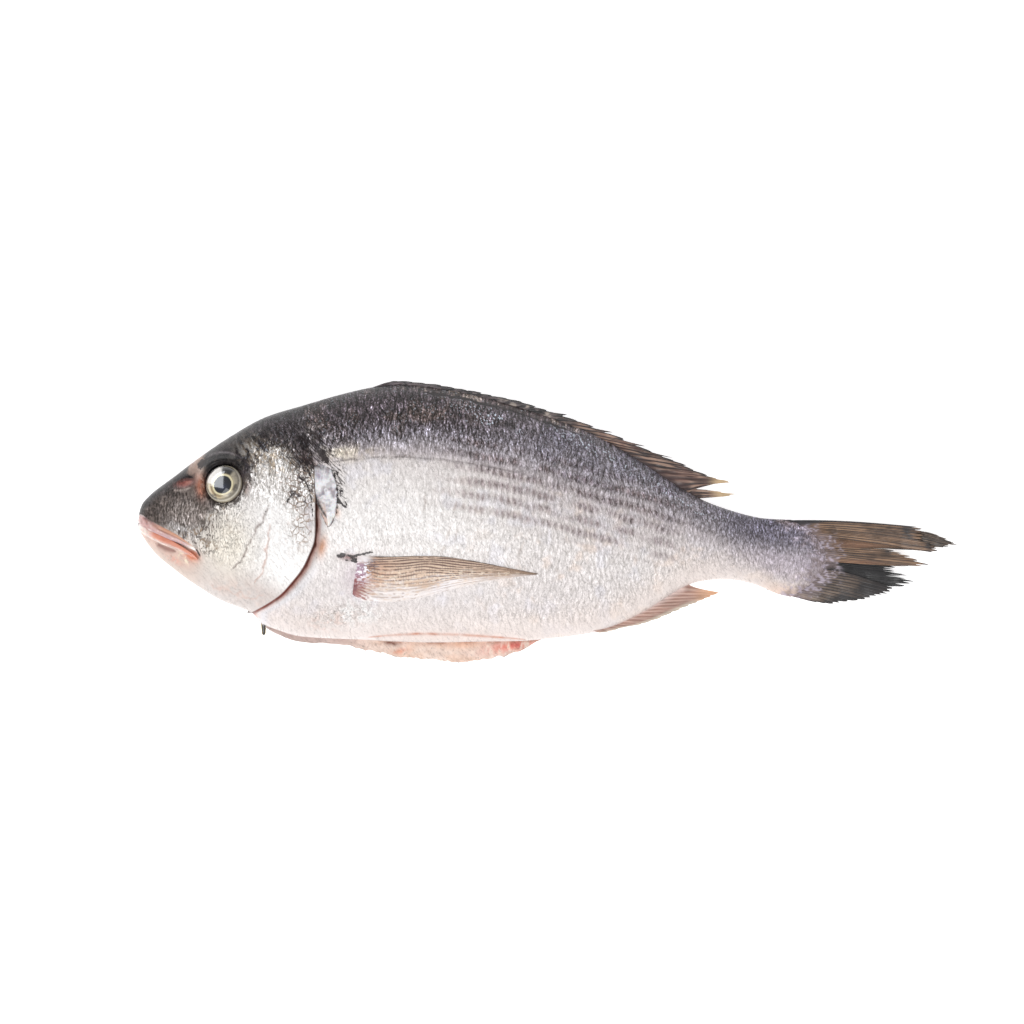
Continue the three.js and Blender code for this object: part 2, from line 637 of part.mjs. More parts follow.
export default group;
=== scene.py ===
"""A whole gutted sea bream lying on its right flank: the finish of every surface, built round the fixed frame.

Fish coordinates are millimetres: +X from snout to tail, +Y from belly to back, +Z up from the table.
Side 1 is the left flank, which faces up, and side -1 the right one, which lies on the table.
"""

from __future__ import annotations

import logging
import math
from dataclasses import dataclass, field
from enum import Enum
from typing import Sequence

import bpy
import numpy as np
from numpy.typing import NDArray
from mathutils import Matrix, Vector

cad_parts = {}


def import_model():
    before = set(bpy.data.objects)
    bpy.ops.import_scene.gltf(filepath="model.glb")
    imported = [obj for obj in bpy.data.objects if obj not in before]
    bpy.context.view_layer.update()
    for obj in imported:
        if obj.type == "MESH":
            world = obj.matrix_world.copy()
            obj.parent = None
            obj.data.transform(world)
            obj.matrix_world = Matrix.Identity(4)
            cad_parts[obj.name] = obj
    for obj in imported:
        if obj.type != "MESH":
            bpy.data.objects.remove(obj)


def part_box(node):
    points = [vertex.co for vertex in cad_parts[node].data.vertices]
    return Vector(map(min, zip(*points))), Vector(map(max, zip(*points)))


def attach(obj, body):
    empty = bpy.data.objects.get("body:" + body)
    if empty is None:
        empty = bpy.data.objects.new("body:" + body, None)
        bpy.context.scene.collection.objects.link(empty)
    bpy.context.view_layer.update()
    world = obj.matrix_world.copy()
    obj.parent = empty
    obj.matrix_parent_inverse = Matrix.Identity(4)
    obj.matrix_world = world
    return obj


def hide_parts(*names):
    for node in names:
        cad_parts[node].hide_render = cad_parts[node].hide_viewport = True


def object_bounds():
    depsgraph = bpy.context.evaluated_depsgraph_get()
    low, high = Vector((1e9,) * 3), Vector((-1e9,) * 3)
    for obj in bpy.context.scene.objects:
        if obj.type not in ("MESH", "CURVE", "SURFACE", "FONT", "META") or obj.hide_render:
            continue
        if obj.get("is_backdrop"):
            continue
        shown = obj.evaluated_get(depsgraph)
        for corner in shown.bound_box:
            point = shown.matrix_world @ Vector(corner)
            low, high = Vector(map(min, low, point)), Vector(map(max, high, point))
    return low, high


log = logging.getLogger("bream")

Array = NDArray[np.float64]
Points = Sequence[tuple[float, float]]
Display = tuple[int, int, int]
Socket, Material, Object = bpy.types.NodeSocket, bpy.types.Material, bpy.types.Object
MM = 0.001
LEFT, RIGHT = 1, -1
LIGHT_LEVEL = 1.12
EYE_X, EYE_Y = -118.6, 13.8
SCALE_BOW, SCALE_DIP = 0.62, 0.55
LAYER_FADE, LAYER_SPREAD = 0.6, 0.6


# ---------- numbers ----------


def ease(value: Array, start: float, end: float) -> Array:
    """0 before start, 1 past end, and the cubic 3t^2 - 2t^3 between them."""
    t = np.clip((value - start) / (end - start), 0.0, 1.0)
    return t * t * (3.0 - 2.0 * t)


def fall(value: Array, start: float, end: float) -> Array:
    """1 before start and 0 past end: what ease leaves."""
    return 1 - ease(value, start, end)


def bell(value: Array, width: float) -> Array:
    """exp(-(value / width)^2): 1 at 0, fading on both sides."""
    return np.exp(-((value / width) ** 2))


def circle(count: int) -> Array:
    """Even angles once round, as one row."""
    return np.linspace(0, 2 * math.pi, count, endpoint=False)[None, :]


def mix(a: Array, b: Array, share: Array) -> Array:
    """The straight mix of a and b: a at share 0 and b at share 1."""
    return a + (b - a) * share


class Profile:
    """A smooth curve through points: a cubic Hermite whose slope at a point is that of its two neighbours."""

    def __init__(self, points: Points, origin: float | None = None) -> None:
        """Keeps the points and their slopes.

        Args:
            points: the (x, y) points, with x rising or falling.
            origin: where given, x is measured as the square root of its distance from there, for a blunt nose.
        """
        ordered = sorted(points)
        self.origin = origin
        self.xs = self._stretch(np.array([p[0] for p in ordered]))
        self.ys = np.array([p[1] for p in ordered])
        before = np.r_[0, np.arange(len(ordered) - 1)]
        after = np.r_[np.arange(1, len(ordered)), len(ordered) - 1]
        self.slopes = (self.ys[after] - self.ys[before]) / (self.xs[after] - self.xs[before])

    def _stretch(self, x: Array) -> Array:
        """x itself, or the square root of its distance from the origin."""
        return x if self.origin is None else np.sqrt(np.maximum(0.0, x - self.origin))

    def __call__(self, x: Array) -> Array:
        """The curve's height at x, held constant past its ends."""
        at = np.clip(self._stretch(np.asarray(x, float)), self.xs[0], self.xs[-1])
        i = np.clip(np.searchsorted(self.xs, at, side="right") - 1, 0, len(self.xs) - 2)
        span = self.xs[i + 1] - self.xs[i]
        t = (at - self.xs[i]) / span
        t2, t3 = t * t, t * t * t
        return (
            (2 * t3 - 3 * t2 + 1) * self.ys[i]
            + (t3 - 2 * t2 + t) * span * self.slopes[i]
            + (3 * t2 - 2 * t3) * self.ys[i + 1]
            + (t3 - t2) * span * self.slopes[i + 1]
        )


def lattice_noise(x: Array, y: Array, seed: int) -> Array:
    """Smooth random values from -1 to 1: a seeded lattice of values, joined by ease between its points."""
    size = 128
    table = np.random.default_rng(seed).uniform(-1.0, 1.0, (size, size))
    i, j = np.floor(x).astype(int), np.floor(y).astype(int)
    u, v = x - i, y - j
    u, v = u * u * (3 - 2 * u), v * v * (3 - 2 * v)
    corner = lambda a, b: table[(i + a) % size, (j + b) % size]
    return mix(mix(corner(0, 0), corner(1, 0), u), mix(corner(0, 1), corner(1, 1), u), v)


def noise(x: Array, y: Array, size: float, seed: int, octaves: int = 3, stretch: float = 1.0) -> Array:
    """Lattice noise in octaves, each half the size and LAYER_FADE of the strength of the one before.

    Args:
        x: places along the fish.
        y: places across it.
        size: the largest lattice step, in the unit of x.
        seed: the seed of the first octave.
        octaves: how many octaves.
        stretch: how many times longer the pattern is along y than along x.

    Returns:
        Values of about -1 to 1.
    """
    total = np.zeros(np.broadcast(x, y).shape)
    weight = 0.0
    for k in range(octaves):
        step, share = size * 0.5**k, LAYER_FADE**k
        total = total + share * lattice_noise(x / step + 17.3 * k, y / (step * stretch) + 9.1 * k, seed + k)
        weight += share
    return total / (LAYER_SPREAD * weight)


def blob(x: Array, y: Array, centre: tuple[float, float], radii: tuple[float, float],
         turn: float = 0.0) -> Array:
    """A soft oval spot: exp(-d^2) with d the distance from the centre in radii, the oval turned by degrees."""
    c, s = math.cos(math.radians(turn)), math.sin(math.radians(turn))
    dx, dy = x - centre[0], y - centre[1]
    return np.exp(-(((dx * c + dy * s) / radii[0]) ** 2) - ((dy * c - dx * s) / radii[1]) ** 2)


def spot(x: Array, y: Array, centre: tuple[float, float], radii: tuple[float, float], turn: float = 0.0,
         gain: float = 1.3) -> Array:
    """An oval spot with a full middle: a blob times a gain, cut at 1."""
    return np.minimum(gain * blob(x, y, centre, radii, turn), 1.0)


def distance_to(x: Array, y: Array, path: Points) -> tuple[Array, Array]:
    """How far each place is from a path of straight runs.

    Args:
        x: places along the fish.
        y: places across it.
        path: the path's corners.

    Returns:
        The distance, and the share of the path's corners passed at the nearest point.
    """
    best = np.full(np.broadcast(x, y).shape, 1e9)
    share = np.zeros_like(best)
    runs = len(path) - 1
    for k in range(runs):
        (ax, ay), (bx, by) = path[k], path[k + 1]
        length = max((bx - ax) ** 2 + (by - ay) ** 2, 1e-9)
        t = np.clip(((x - ax) * (bx - ax) + (y - ay) * (by - ay)) / length, 0, 1)
        d = np.hypot(x - ax - t * (bx - ax), y - ay - t * (by - ay))
        nearer = d < best
        best = np.where(nearer, d, best)
        share = np.where(nearer, (k + t) / runs, share)
    return best, share


def stroke(x: Array, y: Array, path: Points, width: float, tapered: bool = True) -> Array:
    """A soft line along a path: 1 on it, fading as exp(-(d/width)^2), and thinner at both ends if tapered."""
    d, share = distance_to(x, y, path)
    local = width * (np.sqrt(np.clip(4 * share * (1 - share), 0.02, 1)) if tapered else 1.0)
    return np.exp(-((d / local) ** 2))


def crisp(x: Array, y: Array, path: Points, half: float) -> Array:
    """A line's field for the shader to cut at one half: 1 on the path, 1/2 at the half width, -1 far away."""
    d, share = distance_to(x, y, path)
    local = half * np.sqrt(np.clip(4 * share * (1 - share), 0.12, 1))
    return np.maximum(1 - 0.5 * d / local, -1.0)


# ---------- colours ----------


def rgb(red: int, green: int, blue: int) -> Array:
    """A display colour of 0 to 255 a channel, as linear light."""
    c = np.array([red, green, blue]) / 255.0
    return np.where(c <= 0.04045, c / 12.92, ((c + 0.055) / 1.055) ** 2.4)


def linear(colour: Array | Display) -> Array:
    """A colour as linear light, whichever way it is given."""
    return rgb(*colour) if isinstance(colour, tuple) else colour


class Paint:
    """A colour for each vertex, painted in layers of linear light or of three display values of 0 to 255."""

    def __init__(self, ground: Array | Display, x: Array, y: Array) -> None:
        """Starts from one ground colour at all places (x, y)."""
        self.x, self.y = x, y
        self.colour = np.broadcast_to(linear(ground), (*x.shape, 3)).copy()

    def lay(self, colour: Array | Display, share: Array) -> Paint:
        """Mixes in a colour by a share for each vertex."""
        self.colour = mix(self.colour, linear(colour), np.clip(share, 0, 1)[..., None])
        return self

    def dab(self, colour: Array | Display, strength: float, centre: tuple[float, float],
            radii: tuple[float, float],
            turn: float = 0.0, where: Array | float = 1.0) -> None:
        """Mixes in a colour as a soft oval spot.

        Args:
            colour: the colour.
            strength: its share in the spot's middle.
            centre: the spot's middle.
            radii: its half length and half width.
            turn: its turn in degrees.
            where: a factor for each vertex.
        """
        self.lay(colour, strength * blob(self.x, self.y, centre, radii, turn) * where)

    def shade(self, factor: Array) -> Paint:
        """Multiplies the colours by a factor for each vertex."""
        self.colour = np.clip(self.colour * factor[..., None], 0.0, 1.0)
        return self


# ---------- meshes ----------


@dataclass
class Sheet:
    """A closed mesh in the making, its vertices in fish coordinates."""

    vertices: Array
    quads: NDArray[np.int64]
    rims: list[list[int]] = field(default_factory=list)
    tint: Array | None = None
    finish: Array | None = None
    marks: Array | None = None
    lines: Array | None = None
    scales: Array | None = None
    normals: Array | None = None


class Workbench:
    """Turns sheets into Blender objects in the row frame."""

    def __init__(self, shift: Array) -> None:
        """Keeps the step from fish coordinates to the row frame, in millimetres."""
        self.shift = shift

    def build(self, name: str, sheet: Sheet, material: Material, slot: str, smooth: bool = True) -> Object:
        """Makes one object that rides on the fish.

        Args:
            name: the piece's name.
            sheet: its mesh.
            material: its finish.
            slot: not used.
            smooth: whether its faces are shaded smooth.

        Returns:
            The object, which sits at the origin, unturned and unscaled.
        """
        mesh = bpy.data.meshes.new(name)
        vertices = (sheet.vertices.reshape(-1, 3) + self.shift) * MM
        quads = np.asarray(sheet.quads, np.int64).reshape(-1, 4)
        loops = np.concatenate([quads.ravel(), *[np.array(rim, np.int64) for rim in sheet.rims]])
        sizes = np.concatenate([np.full(len(quads), 4), np.array([len(rim) for rim in sheet.rims], np.int64)])
        mesh.vertices.add(len(vertices))
        mesh.vertices.foreach_set("co", vertices.astype(np.float32).ravel())
        mesh.loops.add(len(loops))
        mesh.loops.foreach_set("vertex_index", loops.astype(np.int32))
        mesh.polygons.add(len(sizes))
        mesh.polygons.foreach_set("loop_start", (np.cumsum(sizes) - sizes).astype(np.int32))
        mesh.polygons.foreach_set("use_smooth", np.full(len(sizes), smooth))
        mesh.update(calc_edges=True)
        if sheet.scales is not None:
            layer = mesh.uv_layers.new(name="scales")
            layer.data.foreach_set("uv", sheet.scales.reshape(-1, 2)[loops].astype(np.float32).ravel())
        if sheet.tint is not None:
            rgba = np.hstack([sheet.tint.reshape(-1, 3), np.ones((len(vertices), 1))])
            tint = mesh.color_attributes.new(name="tint", type="FLOAT_COLOR", domain="POINT")
            tint.data.foreach_set("color", rgba.astype(np.float32).ravel())
        for layer_name, values in (("finish", sheet.finish), ("marks", sheet.marks), ("lines", sheet.lines)):
            if values is not None:
                layer = mesh.attributes.new(name=layer_name, type="FLOAT_VECTOR", domain="POINT")
                layer.data.foreach_set("vector", values.reshape(-1, 3).astype(np.float32).ravel())
        if sheet.normals is not None:
            mesh.normals_split_custom_set_from_vertices(sheet.normals.reshape(-1, 3).tolist())
        mesh.materials.append(material)
        piece = bpy.data.objects.new(name, mesh)
        bpy.context.scene.collection.objects.link(piece)
        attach(piece, "root")
        log.info("%s: %d faces", name, len(sizes))
        return piece


def grid_quads(rows: int, columns: int, start: int = 0, wrap: bool = False,
               flip: bool = False) -> NDArray[np.int64]:
    """The faces of a grid of vertices numbered row by row, its last column joined to the first if wrapped."""
    i = np.arange(rows - 1)[:, None]
    j = np.arange(columns if wrap else columns - 1)[None, :]
    k = (j + 1) % columns
    a, b, c, d = (i * columns + j, i * columns + k, (i + 1) * columns + k, (i + 1) * columns + j)
    corners = (a, d, c, b) if flip else (a, b, c, d)
    return np.stack([np.broadcast_to(x, (rows - 1, j.shape[1])) for x in corners], -1).reshape(-1, 4) + start


def outward(vertices: Array, quads: NDArray[np.int64], rims: list[list[int]]) -> tuple[NDArray[np.int64],
                                                                                       list[list[int]]]:
    """Turns a closed mesh's faces outwards: each is reversed where the volume that they enclose is negative."""
    v = vertices.reshape(-1, 3)
    centre = v.mean(0)
    fan = [(quads[:, 0], quads[:, 1], quads[:, 2]), (quads[:, 0], quads[:, 2], quads[:, 3])]
    volume = sum(np.einsum("ij,ij->i", v[a] - centre, np.cross(v[b] - centre, v[c] - centre)).sum() for a, b,
                 c in fan)
    if volume >= 0:
        return quads, rims
    return quads[:, ::-1], [rim[::-1] for rim in rims]


def lofted(rings: Array, endless: bool = False, **layers: Array) -> Sheet:
    """A closed mesh of rings joined side by side.

    Args:
        rings: positions of shape (rings, points of a ring, 3).
        endless: whether the last ring joins the first, instead of a rim closing each end.
        **layers: the sheet's tint, finish, marks, lines or scales for each point.

    Returns:
        The sheet, its faces pointing outwards.
    """
    count, around = rings.shape[:2]
    quads = grid_quads(count, around, wrap=True)
    rims: list[list[int]] = []
    if endless:
        last = (count - 1) * around + np.arange(around)
        first = np.arange(around)
        quads = np.concatenate([quads, np.stack([last, np.roll(last, -1), np.roll(first, -1), first], -1)])
    else:
        rims = [list(range(around))[::-1], list(range((count - 1) * around, count * around))]
    quads, rims = outward(rings, quads, rims)
    return Sheet(rings, quads, rims, **layers)


def leaf(x: Array, y: Array, upper: Array, lower: Array, colour: Array) -> Sheet:
    """A thin closed sheet: its upper face, then its lower one back, both in the same colours."""
    top, under = np.stack([x, y, upper], -1), np.stack([x, y, lower], -1)[:, ::-1]
    return lofted(np.hstack([top, under]), tint=np.hstack([colour, colour[:, ::-1]]) / LIGHT_LEVEL)


def sided(name: str, side: int) -> str:
    """The name of a piece of one side."""
    return f"{name}_{'left' if side == LEFT else 'right'}"


def grid_normals(points: Array) -> Array:
    """The unit normals of a grid: the cross product of the differences along its rows and columns."""
    along, across = np.gradient(points, axis=0), np.gradient(points, axis=1)
    normal = np.cross(along, across)
    return normal / np.maximum(np.linalg.norm(normal, axis=-1, keepdims=True), 1e-12)


# ---------- material nodes ----------


class Field:
    """One socket of a node tree, with arithmetic that adds math nodes."""

    def __init__(self, graph: Graph, socket: Socket) -> None:
        """Holds the socket and the graph that it belongs to."""
        self.graph, self.socket = graph, socket

    def __add__(self, other: Field | float) -> Field:
        """The sum."""
        return self.graph.math("ADD", self, other)

    def __sub__(self, other: Field | float) -> Field:
        """The difference."""
        return self.graph.math("SUBTRACT", self, other)

    def __mul__(self, other: Field | float) -> Field:
        """The product."""
        return self.graph.math("MULTIPLY", self, other)

    def fraction(self) -> Field:
        """What stands behind the point."""
        return self.graph.math("FRACT", self, 0.0)

    def floor(self) -> Field:
        """The whole number below."""
        return self.graph.math("FLOOR", self, 0.0)

    def ramp(self, low: float, high: float, start: float = 0.0, end: float = 1.0) -> Field:
        """A smooth rise from start to end while the value goes from low to high."""
        node = self.graph.node("ShaderNodeMapRange", [self], interpolation_type="SMOOTHSTEP")
        for name, value in (("From Min", low), ("From Max", high), ("To Min", start), ("To Max", end)):
            node.inputs[name].default_value = value
        return Field(self.graph, node.outputs[0])


class Graph:
    """A material in the making."""

    def __init__(self, name: str) -> None:
        """Starts a material with a Principled BSDF alone."""
        self.material = bpy.data.materials.new(name)
        self.material.use_nodes = True
        self.tree = self.material.node_tree
        self.shader = next(n for n in self.tree.nodes if n.type == "BSDF_PRINCIPLED")

    def node(self, kind: str, inputs: Sequence[Field | float | Sequence[float]] = (),
             **settings: object) -> bpy.types.Node:
        """Adds a node.

        Args:
            kind: the node's type name.
            inputs: what feeds its first sockets, in order: a field to link or a value to set.
            **settings: the node's own properties.

        Returns:
            The node.
        """
        node = self.tree.nodes.new(kind)
        for name, value in settings.items():
            setattr(node, name, value)
        for socket, value in zip(node.inputs, inputs):
            self.feed(socket, value)
        return node

    def feed(self, socket: Socket, value: Field | float | Sequence[float]) -> None:
        """Links a field to a socket, or sets the socket's value."""
        if isinstance(value, Field):
            self.tree.links.new(value.socket, socket)
        else:
            socket.default_value = value

    def math(self, operation: str, a: Field | float, b: Field | float) -> Field:
        """A math node of two inputs."""
        return Field(self, self.node("ShaderNodeMath", [a, b], operation=operation).outputs[0])

    def attribute(self, name: str, output: str = "Color") -> Field:
        """A mesh attribute, such as the tint painted on the vertices."""
        return Field(self, self.node("ShaderNodeAttribute", attribute_name=name).outputs[output])

    def split(self, vector: Field) -> tuple[Field, Field, Field]:
        """The three parts of a vector."""
        outputs = self.node("ShaderNodeSeparateXYZ", [vector]).outputs
        return Field(self, outputs[0]), Field(self, outputs[1]), Field(self, outputs[2])

    def join(self, x: Field | float, y: Field | float, z: Field | float = 0.0) -> Field:
        """A vector of three parts."""
        return Field(self, self.node("ShaderNodeCombineXYZ", [x, y, z]).outputs[0])

    def place(self, stretch: Sequence[float] = (1, 1, 1)) -> Field:
        """The place on the piece in metres, times a stretch for each axis."""
        coordinates = Field(self, self.node("ShaderNodeTexCoord").outputs["Object"])
        return self.vector("MULTIPLY", coordinates, stretch)

    def speckle(self, place: Field, scale: float, detail: float = 3.0, rough: float = 0.55) -> Field:
        """Noise from 0 to 1, with the mean at a half."""
        node = self.node("ShaderNodeTexNoise", [place])
        for name, value in (("Scale", scale), ("Detail", detail), ("Roughness", rough)):
            node.inputs[name].default_value = value
        return Field(self, node.outputs[0])

    def chance(self, place: Field) -> Field:
        """A random value from 0 to 1 for each place."""
        return Field(self, self.node("ShaderNodeTexWhiteNoise", [place]).outputs["Value"])

    def blend(self, share: Field, a: Field, b: Field | Sequence[float], how: str = "MIX") -> Field:
        """The mix of two colours."""
        node = self.node("ShaderNodeMix", data_type="RGBA", blend_type=how)
        for socket, value in ((node.inputs[0], share), (node.inputs[6], a), (node.inputs[7], b)):
            self.feed(socket, value)
        return Field(self, node.outputs[2])

    def vector(self, operation: str, a: Field, b: Field | Sequence[float]) -> Field:
        """A math node of two vectors."""
        return Field(self, self.node("ShaderNodeVectorMath", [a, b], operation=operation).outputs[0])

    def brighten(self, colour: Field, factor: Field) -> Field:
        """A colour times a factor."""
        return self.vector("MULTIPLY", colour, self.join(factor, factor, factor))

    def bump(self, height: Field, distance: float, strength: float = 1.0) -> None:
        """Bends the shader's normal by a height in units of a distance in metres."""
        node = self.node("ShaderNodeBump")
        node.inputs["Strength"].default_value = strength
        node.inputs["Distance"].default_value = distance
        self.feed(node.inputs["Height"], height)
        self.feed(self.shader.inputs["Normal"], Field(self, node.outputs[0]))

    def set(self, **values: Field | float | Sequence[float]) -> None:
        """Sets or links the shader's sockets; a name's underscores stand for spaces."""
        for name, value in values.items():
            self.feed(self.shader.inputs[name.replace("_", " ")], value)


@dataclass(frozen=True)
class ScaledSkin:
    """Wet skin with overlapping scales: its looks are painted on the vertices, and its grain is made in nodes.

    The finish holds the strength of the pattern, the roughness and the share of sparkles, which are painted
    glints. The marks hold the strength of the scales' dark rear edges, partly their own dark margin and partly
    painted shade where one scale overlaps the next, of the fine dark cracks and of the seams between bony
    plates. The lines hold the field of the black lines, the field of the dark cap, both cut at one half, and
    the strength of the dark threads.
    """

    coat: float = 0.12
    coat_roughness: float = 0.13
    relief: float = 0.0002
    streak_gain: float = 8.5
    mottle_gain: float = 7.5
    crack_size: float = 900.0
    plate_size: float = 400.0

    def material(self) -> Material:
        """Builds the finish.

        The tint is multiplied by exp(pattern * strength), where the pattern adds upright streaks, finer
        mottling, one random shade for each scale, painted light for the angle at which that scale faces the
        light, and a dark rear edge, partly the scale's own margin and partly painted shade. Cracks lie where a
        noise passes through its mean, and seams where two cells of a cell pattern meet. The sparkles are
        painted glints.
        """
        g = Graph("scaled_skin")
        u, v, _ = g.split(Field(g, g.node("ShaderNodeUVMap", uv_map="scales").outputs[0]))
        wander = g.speckle(g.join(u, v), 0.55, 2.0)
        u = u + (wander - 0.5) * 0.9
        phase, cell, height = self._scale(g, u, v)
        amount, gloss, fleck = g.split(g.attribute("finish", "Vector"))
        edges, cracks, plates = g.split(g.attribute("marks", "Vector"))
        ink, cap, strands = g.split(g.attribute("lines", "Vector"))
        # One random shade for each scale: painted light for the angle at which that scale faces the light
        chance = g.chance(cell)
        streak = g.speckle(g.join(u, v * 0.4), 3.4, 2.0, 0.75) - 0.5
        mottle = g.speckle(g.place((1, 0.5, 1)), 1800.0, 2.0, 0.75) - 0.5
        # The dark rear edge: partly the scale's own dark margin, partly painted shade where it overlaps the
        # next
        rear = phase.ramp(0.66, 0.9) * g.speckle(g.join(u, v), 1.4, 2.0).ramp(0.38, 0.56) * edges
        pattern = ((streak * self.streak_gain + mottle * self.mottle_gain + (chance - 0.5) * 0.8 - rear * 1.5)
                   * amount)
        shades = [g.math("EXPONENT", pattern * share, 0.0) for share in (0.97, 1, 1.04)]
        worm = g.speckle(g.place((1, 0.36, 1)), self.crack_size, 2.0, 0.65) - 0.5
        thin = g.math("ABSOLUTE", worm, 0.0)
        rough_cap = (cap + worm * 2.4).ramp(0.42, 0.6, 0.0, 0.9)
        colour = g.blend(rough_cap, g.attribute("tint"), (0.052, 0.04, 0.037, 1))
        colour = g.vector("MULTIPLY", colour, g.join(*shades))
        line = (cracks * 0.05 - thin).ramp(-0.012, 0.01) * cracks.ramp(0.0, 0.7, 0.2, 0.92)
        gold = g.speckle(g.place(), 300.0, 1.0).ramp(0.5, 0.62, 0.0, 0.8)
        brown = g.blend(gold, (0.085, 0.066, 0.058, 1), (0.30, 0.215, 0.145, 1))
        colour = g.blend(line, colour, brown)
        seam = (plates * 0.15 - self._seam(g)).ramp(-0.02, 0.015) * plates.ramp(0.0, 0.4, 0.4, 0.95)
        outline = g.blend(plates.ramp(0.35, 0.85), (0.34, 0.26, 0.21, 1), (0.04, 0.037, 0.047, 1))
        colour = g.blend(seam, colour, outline)
        # Sparkles: painted glints, blue-white specks that stand in for light caught by single scales
        spark = g.speckle(g.place((1, 0.7, 1)), 1300.0, 1.0).ramp(0.6, 0.68) * fleck
        colour = g.blend(spark, colour, (0.66, 0.72, 0.82, 1))
        black = g.math("MAXIMUM", self._strand(g, strands) * 0.8,
                       (ink + mottle * 1.6).ramp(0.4, 0.62, 0.0, 0.94))
        colour = g.blend(black, colour, (0.014, 0.009, 0.01, 1))
        dark = g.math("MAXIMUM", g.math("MAXIMUM", line, seam), black)
        g.set(Base_Color=colour, Roughness=gloss + streak * 0.3, Metallic=amount.ramp(0.0, 0.5, 0.0, 0.12))
        g.set(Coat_Weight=self.coat, Coat_Roughness=self.coat_roughness, Coat_IOR=1.38, Specular_IOR_Level=0.28)
        g.bump(height * edges + mottle * 0.6 - dark * 0.8, self.relief)
        return g.material

    def _strand(self, g: Graph, strands: Field) -> Field:
        """1 on dark threads that run down and back, the wider the greater their strength."""
        x, y, _ = g.split(g.place())
        place = g.join(x + y, (x - y) * 0.16)
        thread = g.math("ABSOLUTE", g.speckle(place, 700.0, 2.0, 0.6) - 0.5, 0.0)
        return (strands * 0.055 - thread).ramp(-0.014, 0.014)

    def _scale(self, g: Graph, u: Field, v: Field) -> tuple[Field, Field, Field]:
        """The scale on top at a point.

        In a row j of scales, t = fraction(u - j/2 + bow a^2) rises from 0 at the front of a scale's bare part
        to 1 at its rear edge, where a = v - j is the distance from the row's middle. The scale on top is the
        one with the greater t - dip a^2 of the two nearest rows.

        Args:
            g: the material in the making.
            u: scales counted along a row.
            v: rows counted up.

        Returns:
            The phase t, the scale's own number and its height.
        """
        low_row = v.floor()
        t0, cell0, h0 = self._row(u, v, low_row)
        t1, cell1, h1 = self._row(u, v, low_row + 1.0)
        upper = g.math("GREATER_THAN", h1, h0)
        cell = g.join(cell0 + upper * (cell1 - cell0), low_row + upper)
        return t0 + upper * (t1 - t0), cell, g.math("MAXIMUM", h0, h1)

    def _row(self, u: Field, v: Field, row: Field) -> tuple[Field, Field, Field]:
        """The phase within a scale, the scale's number and its height, in one row."""
        across = v - row
        arc = across * across
        along = u - (row * 0.5).fraction() + arc * SCALE_BOW
        phase = along.fraction()
        return phase, along.floor(), phase - arc * SCALE_DIP

    def _seam(self, g: Graph) -> Field:
        """The distance from the seams between small bony plates of uneven size, more where a seam is broken."""
        bent = g.speckle(g.place(), 260.0, 2.0)
        place = g.vector("ADD", g.place(), g.join(bent * 0.0022, bent * -0.0016))
        node = g.node("ShaderNodeTexVoronoi", [place], feature="DISTANCE_TO_EDGE")
        node.inputs["Scale"].default_value = self.plate_size
        return Field(g, node.outputs["Distance"]) + g.speckle(g.place(), 700.0, 2.0).ramp(0.52, 0.7, 0.0, 0.1)


# ---------- the fish's plain shape ----------


